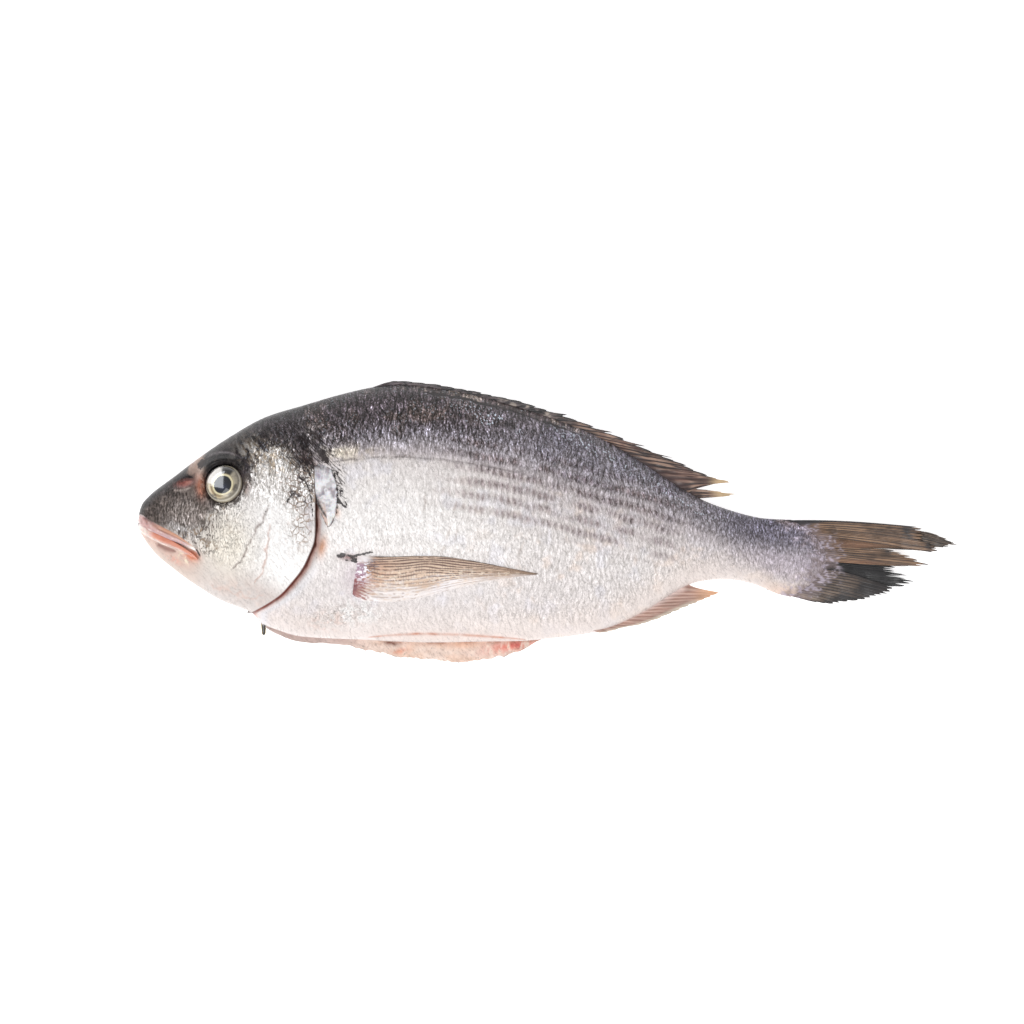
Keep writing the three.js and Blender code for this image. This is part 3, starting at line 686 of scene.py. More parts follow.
@dataclass
class Body:
    """The fish's plain shape: its outline from above, its thickness and the height of its middle."""

    snout_x: float = -150.0
    flesh_end_x: float = 102.0
    flesh_bow: float = 13.0
    nape_x: float = -90.0
    throat_x: float = -108.5
    sag_from: float = 0.62
    back: Points = (
        (-150, 0), (-148.6, 6.2), (-146, 9.2), (-138, 15.4), (-129, 22.2), (-116, 31.1), (-104, 37.8),
        (-90, 42.2), (-68, 48.2), (-54, 49.9), (-37, 48.1), (-19, 44.1), (0, 38.2), (18, 31), (32, 23),
        (46, 13.8), (57, 7.6), (70, 3), (80, 0.9), (101, 0.4),
    )
    belly: Points = (
        (-150, -2), (-148.9, -4.8), (-146.8, -8.1), (-142.4, -13.2), (-138, -16.8), (-129, -23.4),
        (-120, -28.9), (-108.5, -33.6), (-105, -37.3), (-99, -39.9), (-91, -42.2), (-68, -43.5), (-46, -44.5),
        (-24, -44.2), (-5, -43.6), (20, -40), (35, -33.2), (50, -24), (58, -21.8), (67, -21.5), (76, -23.4),
        (85, -27), (101, -29.6),
    )
    flap_spread: Points = (
        (-106, 0), (-100, 1.6), (-90, 2.1), (-76, 2.2), (-64, 4.4), (-50, 6), (-33, 7.3), (-20, 6.2),
        (-9, 3.2), (-3, 0.3), (4, 0),
    )
    half_width: Points = (
        (-150, 0), (-149, 3.4), (-146, 6.4), (-138, 9.6), (-126, 12.8), (-110, 16.2), (-95, 18.6), (-75, 20),
        (-50, 20.2), (-20, 19.2), (10, 16.4), (30, 13.2), (50, 9.6), (70, 6.4), (85, 3.6), (95, 1.6),
        (102, 0.6),
    )
    middle_height: Points = (
        (-150, 14.5), (-120, 16.8), (-90, 18.3), (-60, 18.6), (-20, 18.2), (20, 16), (50, 12.4), (75, 9.4),
        (101, 6.6), (125, 4.2), (150, 2.6),
    )
    sharpness: Points = ((-150, 0.5), (-110, 0.52), (-80, 0.6), (0, 0.64), (60, 0.56), (101, 0.5))
    left_edge: Points = (
        (-150, 14.5), (-120, 16.8), (-109, 16.9), (-97, 14.2), (-80, 10.9), (-50, 9.2), (-25, 9.8), (-2, 12.2),
        (24, 14), (50, 12.1), (80, 8.9), (102, 6.5),
    )
    right_edge: Points = (
        (-150, 14.5), (-120, 16.8), (-109, 16.7), (-97, 11), (-80, 5), (-50, 3.4), (-25, 3.8), (-6, 8),
        (8, 12.2), (24, 13.8), (50, 12.1), (80, 8.9), (102, 6.5),
    )
    gill_edge: Points = (
        (43, -90), (31, -87.4), (22, -85.6), (13, -85), (3, -84.7), (-7, -85), (-12, -86.8), (-17.6, -89.6),
        (-22.8, -93.7), (-27.3, -98), (-31, -103.6), (-33.6, -108.5),
    )
    gill_top: float = 19.5
    pressed: float = 0.15
    slope_reach: float = 7.0

    def __post_init__(self) -> None:
        """Draws the curves through the points."""
        self.back_y = Profile(self.back, self.snout_x)
        self.belly_y = Profile(self.belly, self.snout_x)
        self.half_thickness = Profile(self.half_width, self.snout_x)
        self.middle_z = Profile(self.middle_height)
        self.roundness = Profile(self.sharpness)
        self.spread = Profile(self.flap_spread)
        self.edge_z = {LEFT: Profile(self.left_edge), RIGHT: Profile(self.right_edge)}
        self.gill_x = Profile(self.gill_edge)

    def low_y(self, x: Array, side: int) -> Array:
        """The lower edge of a side's outline: the right belly flap spreads out past the left one."""
        return self.belly_y(x) - (self.spread(x) if side == RIGHT else 0.0)

    def half(self, x: Array, y: Array, side: int) -> Array:
        """Half the thickness: the greatest half width times (1 - a^2)^roundness, a from -1 belly to 1 back."""
        high, low = self.back_y(x), self.low_y(x, side)
        a = np.clip((2 * y - high - low) / np.maximum(high - low, 0.01), -1, 1)
        return self.half_thickness(x) * np.power(np.maximum(0.0, 1 - a * a), self.roundness(x))

    def core_z(self, x: Array, y: Array, side: int) -> Array:
        """Height of the body's middle: towards the belly it sags to that flap's edge."""
        share = (self.back_y(x) - y) / np.maximum(self.back_y(x) - self.low_y(x, side), 0.01)
        return mix(self.middle_z(x), self.edge_z[side](x), ease(share, self.sag_from, 1.0))

    def skin_z(self, x: Array, y: Array, side: int, proud: Array | float = 0.0) -> Array:
        """Height of what stands out from the skin: never below the table, and the bare skin just over it."""
        lowest = np.clip(self.pressed - np.asarray(proud), 0.0, self.pressed)
        return np.maximum(lowest, self.core_z(x, y, side) + side * (self.half(x, y, side) + proud))

    def out_of(self, x: float, y: float, side: int) -> Array:
        """The way out of the skin at a point, from the heights at a reach ahead, astern, above and below."""
        r = self.slope_reach
        xs, ys = np.array([x + r, x - r, x, x]), np.array([y, y, y + r, y - r])
        ahead, astern, above, below = self.skin_z(xs, ys, side)
        way = np.array([side * (astern - ahead) / (2 * r), side * (below - above) / (2 * r), side])
        return way / np.linalg.norm(way)

    def on_skin(self, x: float, y: float, side: int, proud: float = 0.0) -> Array:
        """A point that stands out from the skin by an amount."""
        return np.array([x, y, float(self.skin_z(np.array(x), np.array(y), side, proud))])

    def gill_open(self, y: Array) -> Array:
        """1 along the open part of the gill slit, and 0 where head and back run on."""
        return fall(y, self.gill_top - 3, self.gill_top + 3)


@dataclass(frozen=True)
class ScaleRows:
    """Where each scale lies: rows that follow the lateral line and draw together towards the tail."""

    line: Points = (
        (-150, 8), (-110, 16), (-79, 21.6), (-64.8, 23.1), (-53.4, 23.4), (-38.8, 22.3), (-23.8, 20.1),
        (-8.8, 17.2), (19, 9.9), (37.3, 4.8), (55.6, -1.1), (77.6, -8), (102.8, -12),
    )
    height: Points = ((-150, 3.4), (-100, 4.4), (-60, 4.7), (0, 4.4), (50, 3.4), (100, 2.4))
    length: Points = ((-150, 1.9), (-90, 2.4), (-20, 2.4), (50, 2), (100, 1.5))

    def uv(self, x: Array, y: Array) -> Array:
        """Scale coordinates: u counts scales along a row, the integral of dx / length, and v counts rows up."""
        steps = np.linspace(-160.0, 160.0, 1281)
        pitch = 1.0 / Profile(self.length)(steps)
        counted = np.concatenate([[0.0], np.cumsum((pitch[1:] + pitch[:-1]) / 2 * np.diff(steps))])
        u = np.interp(x, steps, counted)
        v = (y - Profile(self.line)(x)) / Profile(self.height)(x)
        return np.stack([u, v + 40.0], -1)


# ---------- painting ----------

WHITE = rgb(252, 250, 249)
SILVER = rgb(240, 236, 235)
ROSE_GREY = rgb(205, 197, 199)
INK = rgb(34, 30, 33)
STEEL = rgb(101, 98, 114)
LILAC = rgb(186, 174, 188)
SAND = rgb(192, 174, 152)
ORANGE = rgb(216, 150, 108)
BLOOD = rgb(112, 50, 42)
ROSE = rgb(214, 160, 146)
WALL_PINK = rgb(243, 219, 205)
WALL_RED = rgb(226, 128, 110)
TAIL_ROOT = rgb(132, 117, 118)


SKIN_TONES = (70, 100, 130, 160, 190, 218, 238, 252)
SKIN_COLOURS = (
    rgb(76, 67, 71), rgb(104, 96, 102), rgb(133, 127, 135), rgb(164, 157, 163), rgb(196, 187,
                                                                                    190), rgb(224, 216, 215),
    rgb(243, 238, 236), rgb(254, 252, 251),
)


def skin_ramp(tone: Array) -> Array:
    """The skin's colour for a brightness of 0 to 255: from brown-black through mauve grey to a warm white."""
    colours = np.array(SKIN_COLOURS)
    return np.stack([np.interp(tone, SKIN_TONES, colours[:, k]) for k in range(3)], -1)


@dataclass
class Looks:
    """What is painted on the vertices of a skin.

    The finish holds the strength of the pattern, the roughness and the share of sparkles, which are painted
    glints. The marks hold the strength of the scales' dark edges, partly their own margin and partly painted
    shade, of the fine cracks and of the plates' seams. The lines hold the fields of the black lines and of the
    dark cap, and the strength of the dark threads.
    """

    tint: Array
    finish: Array
    marks: Array
    lines: Array


@dataclass
class Coat:
    """The skin's colours, as layers laid over one another by the place on the fish."""

    body: Body
    rows: ScaleRows
    tone_front: Points = (
        (-60, 220), (-50, 222), (-40, 229), (-30, 240), (-21, 243), (-12, 237), (-5, 229), (-0.8, 220),
        (0.8, 198), (3, 174), (5.5, 150), (10, 110), (14, 78), (19, 64), (23, 72), (28, 66),
    )
    tone_rear: Points = (
        (-60, 222), (-45, 222), (-32, 226), (-22.7, 229), (-18, 220), (-14, 210), (-9.5, 205), (-5, 198),
        (-0.7, 180), (3.7, 158), (8, 142), (12.4, 128), (17, 112), (21, 100), (25, 86),
    )
    tone_end: Points = (
        (-30, 222), (-22, 226), (-15, 222), (-11, 212), (-6.6, 196), (-2.2, 168), (2.2, 144), (6.6, 124),
        (11, 92), (16, 72),
    )
    cap_edge: Points = (
        (-150, -5.5), (-146, -3.6), (-142, -4.4), (-138, -5.8), (-134, -6.4), (-130, -5.6), (-126.5, -2.8),
        (-123, 1.2), (-118.5, 5.4), (-113.5, 7.6), (-110, 12.6), (-106, 19.4), (-102, 23.4), (-97, 24),
        (-92, 21), (-88, 18), (-85, 17.6),
    )
    cheek_line: Points = (
        (-101, 7), (-103.2, 2.2), (-106.1, -3.3), (-109.1, -8.8), (-111.6, -14.3), (-115.7, -17.9),
    )
    cover_line: Points = ((-101.4, -0.7), (-101.7, -5.1), (-102.8, -10.6), (-103.4, -15.4), (-104.6, -19.4),
                          (-107, -22.8))
    jaw_line: Points = ((-123.7, -22.7), (-116.8, -25.6), (-110, -27.6), (-103, -27.4))
    lip_crease: Points = ((-66, -42.6), (-58, -41.8), (-46.8, -41.2), (-32.2, -41.6), (-17.6, -42.6),
                          (-8, -43.4))
    shoulder_edges: tuple[Points, ...] = (
        ((-81.6, 21.6), (-78, 19.4), (-75.9, 15.6), (-75, 11.6), (-75.9, 9.2), (-77.4, 9)),
        ((-80.2, 20.8), (-77.9, 17.4), (-76.9, 13.4), (-76.6, 9.8), (-77.4, 6.4), (-77.5, 3.2)),
        ((-79, 20.6), (-76.6, 17.2), (-75.6, 13.6)),
        ((-77.2, 9.2), (-75.6, 6.6), (-74, 5.2), (-73, 7.6)),
        ((-76.2, 7.8), (-76.6, 5.2), (-77.4, 2.6)),
    )
    flank_folds: tuple[Points, ...] = (
        ((-33.3, 7.7), (-35.1, 0.4), (-37.3, -8.8), (-39.5, -12.8)), ((-31.2, 5.9), (-32.4, -1.5), (-34.3, -8)),
        ((-8.4, -7), (-11.3, -14.3)), ((-44.5, 9.5), (-45.6, 2)),
    )

    def scale_uv(self, x: Array, y: Array) -> Array:
        """Scale coordinates, wandering by up to half a scale so that no row is ruled."""
        uv = self.rows.uv(x, y)
        uv[..., 0] += 0.42 * noise(x, y, 9.0, 11)
        uv[..., 1] += 0.16 * noise(x, y, 11.0, 12)
        return uv

    def scale_height(self, uv: Array) -> Array:
        """Height of the overlapping scales, from 0 to about 1, as in ScaledSkin."""
        low = np.floor(uv[..., 1])
        best = np.full(low.shape, -9.0)
        for row in (low, low + 1):
            a = uv[..., 1] - row
            phase = (uv[..., 0] - np.mod(row * 0.5, 1.0) + SCALE_BOW * a * a) % 1.0
            best = np.maximum(best, phase - SCALE_DIP * a * a)
        return best

    def _shoulder(self, p: Paint, x: Array, y: Array) -> tuple[Array, Array]:
        """The black creases that run down and back to the top of the gill slit, with pale skin between them.

        Args:
            p: the paint, which gets the pale skin.
            x: places along the fish.
            y: places across it.

        Returns:
            The field of the black lines and the strength of the dark threads.
        """
        knots = noise(x, y, 1.6, 27, 2)
        p.dab((196, 188, 188), 0.75, (-83.5, 28), (7, 4.6), -45, ease(knots, -0.15, 0.25))
        p.dab((72, 52, 48), 0.75, (-88.4, 21.8), (4.4, 3), 15)
        p.dab((236, 226, 210), 0.85, (-75, 24.6), (5.5, 2.6), -8, ease(knots, -0.5, 0.2))
        ink = np.maximum(1.35 * blob(x, y, (-82, 23.6), (1.7, 3.6), 28) - 0.25,
                         1.15 * blob(x, y, (-88.2, 21.4), (2.8, 1.7), 10) - 0.3)
        ink = ink + 0.35 * knots
        reach = blob(x, y, (-85, 27.5), (8.5, 4.2), -45) + 0.5 * blob(x, y, (-91, 22), (5, 3.6), -20)
        reach = reach + 0.55 * blob(x, y, (-76, 14.5), (2.6, 7.5), 8)
        return ink, np.clip(1.5 * reach - 0.12, 0, 1.1)

    def trunk(self, x: Array, y: Array, side: int) -> Looks:
        """The looks of the skin behind the gill slit.

        Args:
            x: places along the fish.
            y: places across it.
            side: the flank.

        Returns:
            Tint, finish, marks and lines for each place.
        """
        body = self.body
        above = y - Profile(self.rows.line)(x)
        from_back = body.back_y(x) - y
        from_low = y - body.low_y(x, side)
        fine = noise(x, y, 1.5, 31, stretch=1.9)
        patch = noise(x, y, 5.5, 33)
        broad = noise(x, y, 16.0, 35)
        height = above + 1.2 * broad + 1.0 * patch + 0.6 * fine
        rear = ease(x, -50, 10)
        tone = mix(Profile(self.tone_front)(height), Profile(self.tone_rear)(height), rear)
        tone = mix(tone, Profile(self.tone_end)(height), ease(x, 24, 74))
        # Painted shade: the tone drops a little near the lower edge, where the belly curves away from the light
        tone = tone - 8 * fall(from_low, 2, 10)
        waves = above / 4.9 + 0.08 * patch + 0.3
        zone = ease(x, -48, -22) * fall(x, 34, 62) * ease(above, -22, -14) * fall(above, 5, 12)
        stripes = (0.5 + 0.5 * np.cos(2 * math.pi * waves)) * zone * ease(noise(x, y, 7.0, 49, 2), -1.1, 0.2)
        dashes = 0.5 + 0.5 * np.cos(2 * math.pi * self.scale_uv(x, y)[..., 0])
        tone = tone + zone * 9 - 40 * stripes * (0.35 + 0.9 * dashes + 0.35 * fine)
        dark = fall(tone, 96, 176)
        pale = ease(tone, 176, 226)
        p = Paint(SILVER, x, y)
        p.colour = skin_ramp(tone)
        p.lay((242, 220, 205), 0.45 * ease(noise(x, y, 5.0, 45), 0.15, 0.9) * rear * pale)
        p.lay((224, 224, 238), 0.28 * ease(noise(x, y, 6.5, 47), 0.2, 0.9) * pale)
        p.lay((236, 222, 214), 0.6 * fall(from_low, 3, 17) * pale)
        p.lay((128, 98, 84), 0.42 * stripes * (0.4 + 0.6 * dashes))
        p.lay(STEEL, 0.4 * dark * ease(x, -22, 10) * ease(patch + 0.6 * broad, -0.4, 0.5))
        p.lay((98, 82, 72), 0.45 * dark * ease(patch, 0.0, 0.8) * fall(x, -40, -15))
        p.lay((112, 107, 124), 0.7 * ease(x, 50, 80) * ease(above, -5, 4))
        p.lay(LILAC, 0.55 * ease(x, 64, 84) * fall(above, -5, 1) * ease(from_low, 3, 9))
        p.lay((236, 206, 188), 0.8 * ease(x, 74, 88) * fall(from_low, 1, 6))
        sandy = blob(x, above, (-73, 2.4), (11, 2.4))
        p.lay((222, 208, 190), 0.7 * sandy * ease(patch + fine, -0.5, 0.4))
        for path in self.flank_folds:
            p.lay((150, 128, 112), 0.5 * stroke(x + 0.5 * fine, y, path, 0.42) * ease(patch, -0.8, 0.2))
        p.lay(INK, 0.75 * fall(from_back, 0.3, 3.6) * (1 - 0.8 * ease(x, -15, 10)) * fall(x, 84, 98))
        ink, strands = self._shoulder(p, x, y)
        bent = np.abs(above + 0.25 * noise(x, y, 3.0, 43, 2))
        line = bell(bent, 0.36) * fall(x, -20, 16) * ease(x, -82, -74)
        p.lay((96, 86, 86), 0.62 * line * ease(noise(x, y, 2.5, 44, 2), -1.0, 0.2))
        beside_line = bell(bent, 1.3) * fall(x, -50, -30) * ease(x, -80, -70)
        folded = ease(x, -58, -40) * fall(x, 2, 22)
        lower = from_back + 0.5 * noise(x, y, 3.2, 46)
        p.lay((74, 62, 62), 0.85 * folded * fall(lower, 2.0, 2.5))
        p.lay((176, 160, 150), 0.6 * folded * fall(lower, 1.6, 2.2) * ease(fine + patch, 0.35, 0.8))
        ink = np.maximum(ink, 1 - 0.5 * np.abs(lower - 2.4) / 0.34 * (1 + 9 * (1 - folded)) + 0.5 * patch)
        if side == LEFT:
            ink = np.maximum(ink, self._scars(p, x, y))
        self._gill_slit_red_and_shade(p, x, y)
        self._tail_root(p, x, y)
        beside = 1 - body.gill_open(y) * fall(x - body.gill_x(y), 1.5, 6.0)
        inner = ease(from_low, 1.0, 9.0) * beside * (1 - 0.4 * ease(x, 88, 100))
        amount = mix(mix(0.085, 0.12, rear), mix(0.95, 0.72, rear), 1 - ease(tone, 84, 225))
        amount = amount + 0.08 * ease(x, 55, 80) * pale
        amount = amount * inner * (1 - 0.45 * (1 - rear) * fall(y, -28, -6)) + 0.02
        edges = mix(mix(0.6, 0.9, rear), 1.0, dark) * inner * (1 - 0.8 * ease(x, 70, 95))
        gloss = mix(0.30, 0.36, 1 - pale) + 0.04 * patch
        # The sheen and the fleck give the share of painted glints: bright specks that stand in for light on
        # scales
        sheen = 1.1 * blob(x, y, (-17, 37.5), (12, 4.5), -14) * ease(patch, -0.3, 0.3)
        sheen = sheen + 0.7 * bell(from_back - 5.0, 2.2) * ease(x, -2, 14) * fall(x, 56, 70)
        fleck = np.clip(0.05 + 0.2 * dark * ease(patch, -0.4, 0.6) + sheen, 0, 1) * (1 - pale)
        cracks = (mix(0.1, 0.16, rear) * inner * (1 - 0.6 * dark) + 0.3 * blob(x, y, (-76, -34), (14, 5), 5)
                  + 0.3 * beside_line)
        threads = strands + 0.5 * dark * ease(patch, -0.3, 0.6) * fall(x, -84, -40)
        return Looks(p.colour, np.stack([amount, gloss, fleck], -1), np.stack([edges, cracks, 0 * cracks], -1),
                     np.stack([ink, 0 * ink - 1, threads * beside], -1))

    def _tail_root(self, p: Paint, x: Array, y: Array) -> None:
        """The end of the skin, where scales thin out over the brown rays of the tail fin."""
        bend = 13.0 * (1 - np.minimum(1.0, np.abs(y + 14.0) / 16.0) ** 2)
        ahead = x - 89.0 - bend
        torn = 3.0 * noise(x, y, 3.0, 65) + 1.5 * noise(x, y, 1.2, 66, 2)
        p.lay(TAIL_ROOT, 0.85 * ease(ahead + torn, -9.0, -1.0))
        p.lay(LILAC, 0.8 * ease(ahead, -14, -6) * ease(noise(x, y, 0.9, 67, 2), 0.25, 0.6))

    def _scars(self, p: Paint, x: Array, y: Array) -> Array:
        """What only the upper flank shows: dark scales at the shoulder, the fin pit and the cut lip.

        Args:
            p: the paint, which gets the soft colours.
            x: places along the fish.
            y: places across it.

        Returns:
            The field of the black lines.
        """
        wobble = 0.45 * noise(x, y, 1.8, 51, 2)
        broken = 0.6 * noise(x, y, 1.0, 53, 2) - 0.15
        edges = [crisp(x + wobble, y - wobble, path, 0.3) + broken for path in self.shoulder_edges]
        p.dab(ORANGE, 0.5, (-77, 3.2), (1.3, 2), 10)
        p.dab((120, 64, 52), 0.9, (-72.5, -13.2), (3.6, 1.2), 0)
        pit = crisp(x, y + 0.5 * wobble, ((-77, -12.6), (-74, -12), (-71, -12.9), (-66, -11.8), (-62.5, -11)),
                    0.42)
        root = crisp(x, y + 0.5 * wobble, ((-74, -14.2), (-70, -14.6), (-65, -14.2), (-58, -13.4)), 0.26)
        dots = (1.5 * np.maximum(blob(x, y, (-75.2, -12.6), (1.6, 0.9), 12),
                                 blob(x, y, (-70, -14.4), (2.4, 0.8), -8)) - 0.1)
        p.dab((206, 190, 200), 0.5, (-71, -20), (4.5, 6.5), -10)
        p.dab(WHITE, 0.9, (-70, -33), (9, 5), 5, ease(noise(x, y, 1.4, 55, 2), -0.2, 0.4))
        p.dab((226, 196, 184), 0.6, (-80, -36.5), (7, 3.5), 5, ease(noise(x, y, 1.2, 56, 2), 0.0, 0.4))
        p.dab(ORANGE, 0.85, (-82.4, -9.5), (1.7, 4), -12)
        p.dab((230, 212, 204), 0.85, (-37, -42.4), (26, 1.9))
        crease = stroke(x, y, self.lip_crease, 0.5) * (0.75 + 0.4 * noise(x, y, 3.0, 57, 2))
        p.lay((196, 128, 100), 0.85 * crease)
        return np.maximum.reduce([*edges, pit, root, dots])

    def _gill_slit_red_and_shade(self, p: Paint, x: Array, y: Array) -> None:
        """The gill slit: the gills' own red, darkened as painted shade in the gap, wider and redder low down,
        and the pink skin beside it.
        """
        behind = x - self.body.gill_x(y)
        opened = self.body.gill_open(y)
        low = fall(y, -30, -6)
        width = mix(0.8, 1.3, low) + 0.25 * noise(x, y, 3.0, 61, 2)
        p.lay(ROSE, 0.8 * opened * fall(behind, width, width + 1.7))
        # The slit: the gills' red, darkened as painted shade in the gap under the cover
        p.lay(mix(rgb(92, 50, 40), rgb(126, 66, 56), low[..., None]),
              opened * fall(behind, width * 0.7, width * 1.2))
        p.lay((226, 226, 232), 0.6 * low * opened * bell(behind - 4.6, 1.7))

    def head(self, x: Array, y: Array) -> Looks:
        """The looks of the head, the same on both sides.

        Args:
            x: places along the fish.
            y: places across it.

        Returns:
            Tint, finish, marks and lines for each place.
        """
        body = self.body
        edge = Profile(self.cap_edge)(x)
        from_back = body.back_y(x) - y
        streak = noise(x + 0.5 * y, y - 0.2 * x, 0.95, 71, stretch=2.6)
        grain = noise(x, y, 1.1, 75)
        patch = noise(x, y, 3.2, 76)
        broad = noise(x, y, 9.0, 77)
        above = y - edge + 1.0 * broad + 0.9 * patch + 0.4 * grain
        cap = ease(above, 1.0, 5.0)
        fade = np.exp(-np.maximum(0.0, -above) / mix(4.0, 7.5, ease(x, -112, -102))) * ease(x, -146, -138)
        cheek = blob(x, y, (-115, -7), (13, 15), 20)
        cover_top = blob(x, y, (-90.5, 6), (5.6, 13), 4)
        low = fall(y + 0.55 * (x + 130), -13, -2)
        p = Paint((236, 231, 228), x, y)
        p.lay(WHITE, 0.9 * spot(x, y, (-97, -9), (11, 20), 12))
        p.lay(mix(rgb(204, 184, 172), rgb(207, 197, 193), ease(x, -134, -122)[..., None]), 0.92 * low)
        p.dab((222, 194, 182), 0.5, (-112, -26), (11, 4), -22, ease(patch, -0.6, 0.5))
        p.lay(ROSE_GREY, 0.4 * cover_top * ease(grain + patch, -0.6, 0.6) + 0.2 * cheek
              * ease(grain, -0.2, 0.7))
        p.lay((246, 238, 224), 0.8 * spot(x, y, (-118, -8), (9, 11), 20))
        p.dab(SAND, 0.15, (-119, -9), (9, 11), 20, ease(grain + patch, 0.0, 0.8))
        p.lay((140, 128, 120), 0.5 * fade * ease(streak + 0.6 * grain + 0.4 * patch, 0.2, 0.8))
        p.lay(mix(rgb(64, 56, 53), rgb(60, 53, 56), ease(x, -128, -112)[..., None]), cap)
        p.lay((122, 110, 104), 0.6 * cap * ease(grain + 0.8 * patch, -0.1, 0.6) * fall(x, -126, -118))
        # A paler grey-brown patch on the snout's side, where the dark cap's field is also lowered
        pale_snout_patch = spot(x, y, (-130.5, 1.6), (9.5, 5.6), -18)
        p.lay((140, 130, 125), 0.75 * pale_snout_patch)
        p.dab((226, 222, 222), 0.8, (-133.2, -4.8), (4.6, 3), -34, ease(grain + 0.5 * streak, -0.5, 0.3))
        specks = blob(x, y, (-125.6, -7.6), (4.4, 6.6), 14)
        p.lay((128, 112, 102), 0.8 * specks * ease(streak + 0.5 * grain, 0.1, 0.5))
        p.lay(INK, 0.85 * fall(from_back, 0.5, 5.5) * fall(x, -130, -112))
        p.lay(INK, 0.8 * fall(from_back, 0.5, 4.0))
        eye = np.hypot(x - EYE_X, y - EYE_Y)
        over = np.degrees(np.arctan2(y - EYE_Y, x - EYE_X))
        hood = ease(over, 22, 50) * fall(over, 142, 150) * fall(eye + 0.3 * grain, 10.0, 11.6)
        p.lay((16, 14, 17), 0.98 * hood)
        p.lay((84, 77, 80), 0.6 * ease(x, -112, -98) * cap * ease(from_back, 2, 8) * ease(patch, -0.4, 0.5))
        p.lay((30, 25, 27), 0.9 * spot(x, y, (-112, 27.6), (9, 6), 32))
        nape = blob(x, y, (-100.5, 22), (9, 5.2), -25)
        # The nape's sand and white streaks: partly its silvery scales, partly a painted sheen
        p.lay(SAND, 0.95 * nape * ease(grain + streak, -0.45, 0.35))
        p.lay(WHITE, 0.85 * nape * ease(streak - 0.3 * grain, 0.2, 0.6))
        band = ease(blob(x, y, (-128.8, 20.2), (2, 4.9), -40) + 0.12 * grain, 0.28, 0.6)
        p.lay((172, 144, 130), 0.97 * band)
        p.dab((214, 194, 182), 0.75, (-127.2, 18.2), (1.2, 2.2), -30)
        p.lay((176, 116, 94), 0.97 * spot(x, y, (-126.9, 13), (1.6, 3.8), 8, gain=1.2))
        p.dab((224, 190, 174), 0.8, (-126.2, 14.4), (1, 2), 8, ease(grain, -0.3, 0.4))
        # A painted highlight: a thin grey arc that stands in for light on the glossy black brow above the eye
        arc = bell(eye - 11.3, 0.4) * ease(over, 48, 66) * fall(over, 108, 128)
        p.lay((138, 131, 135), 0.6 * arc * ease(grain, -0.9, 0.1))
        p.dab((120, 80, 70), 0.7, (-109.9, 12.2), (1.2, 3), 0)
        p.dab((206, 168, 152), 0.7, (-127.9, 16.4), (1.3, 1.3))
        self._nostril(p, x, y)
        self._lip_skin(p, x, y, patch)
        self._head_lines(p, x, y, streak, grain)
        ink, strands = self._shoulder(p, x, y)
        ink = np.maximum(ink, self._head_ink(x, y, grain))
        # The cover's hem where it turns into the gill slit: the gills' red, darkened as painted shade in the
        # gap
        wall = mix(rgb(70, 36, 30), rgb(120, 62, 54), fall(y, -30, -6)[..., None])
        p.lay(wall, body.gill_open(y) * ease(x - body.gill_x(y), -0.42, -0.12))
        p.shade(1 + 0.05 * streak + 0.04 * grain)
        bare = np.clip(1 - 1.4 * blob(x, y, (-141, -9), (9, 5), -45), 0, 1)
        chin = fall(y + 0.55 * (x + 130), -14, -6)
        still = (1.3 * blob(x, y, (-129.5, 16.5), (6, 6.5), -30) + 1.3 * blob(x, y, (-118, 25), (13, 4.5), 12)
                 + chin)
        calm = 1 - 0.88 * np.clip(still, 0, 1)
        furry = 0.42 + 0.25 * ease(x, -112, -98)
        crest = ease(x, -113, -104) * ease(y, 3, 12)
        scaly = ((0.04 + furry * cap + 0.12 * fade + 0.06 * cheek + 0.12 * cover_top + 0.34 * crest * (1 - cap))
                 * bare * calm)
        gloss = 0.32 + 0.05 * grain
        cracks = 0.36 * cheek + 0.6 * fade + 0.1 * cover_top + 0.6 * specks
        cracks = np.clip(cracks, 0, 0.95) * bare * calm * (1 - cap)
        plates = 1.15 * blob(x, y, (-89.8, 12.6), (5.4, 6.6), 0) + 0.5 * blob(x, y, (-90.2, 0), (4.8, 8.5), 6)
        plates = np.clip(plates, 0, 0.74) * (0.5 + 0.5 * ease(grain + patch, -0.7, 0.5))
        edges = 0.8 * ease(y, 16, 26) * ease(x, -112, -98)
        # The flecks: the share of painted glints on the cap and the nape
        flecks = 0.12 * ease(x, -112, -98) * cap + 0.5 * nape
        rim = (np.clip(0.5 + (y - edge + 1.0 * broad) / 9.0, -0.6, 1.6) - 3.0 * ease(above, 3.5, 7.5) - 0.5
               * nape)
        rim = rim - 2.0 * fall(x, -139, -134) - 0.9 * pale_snout_patch
        threads = (strands + 0.3 * fade * ease(x, -112, -100) + 0.5 * cap * ease(x, -114, -104)
                   * ease(patch, -0.5, 0.4))
        return Looks(p.colour, np.stack([scaly, gloss, flecks], -1), np.stack([edges, cracks, plates], -1),
                     np.stack([ink, rim, threads * (1 - 0.7 * nape)], -1))

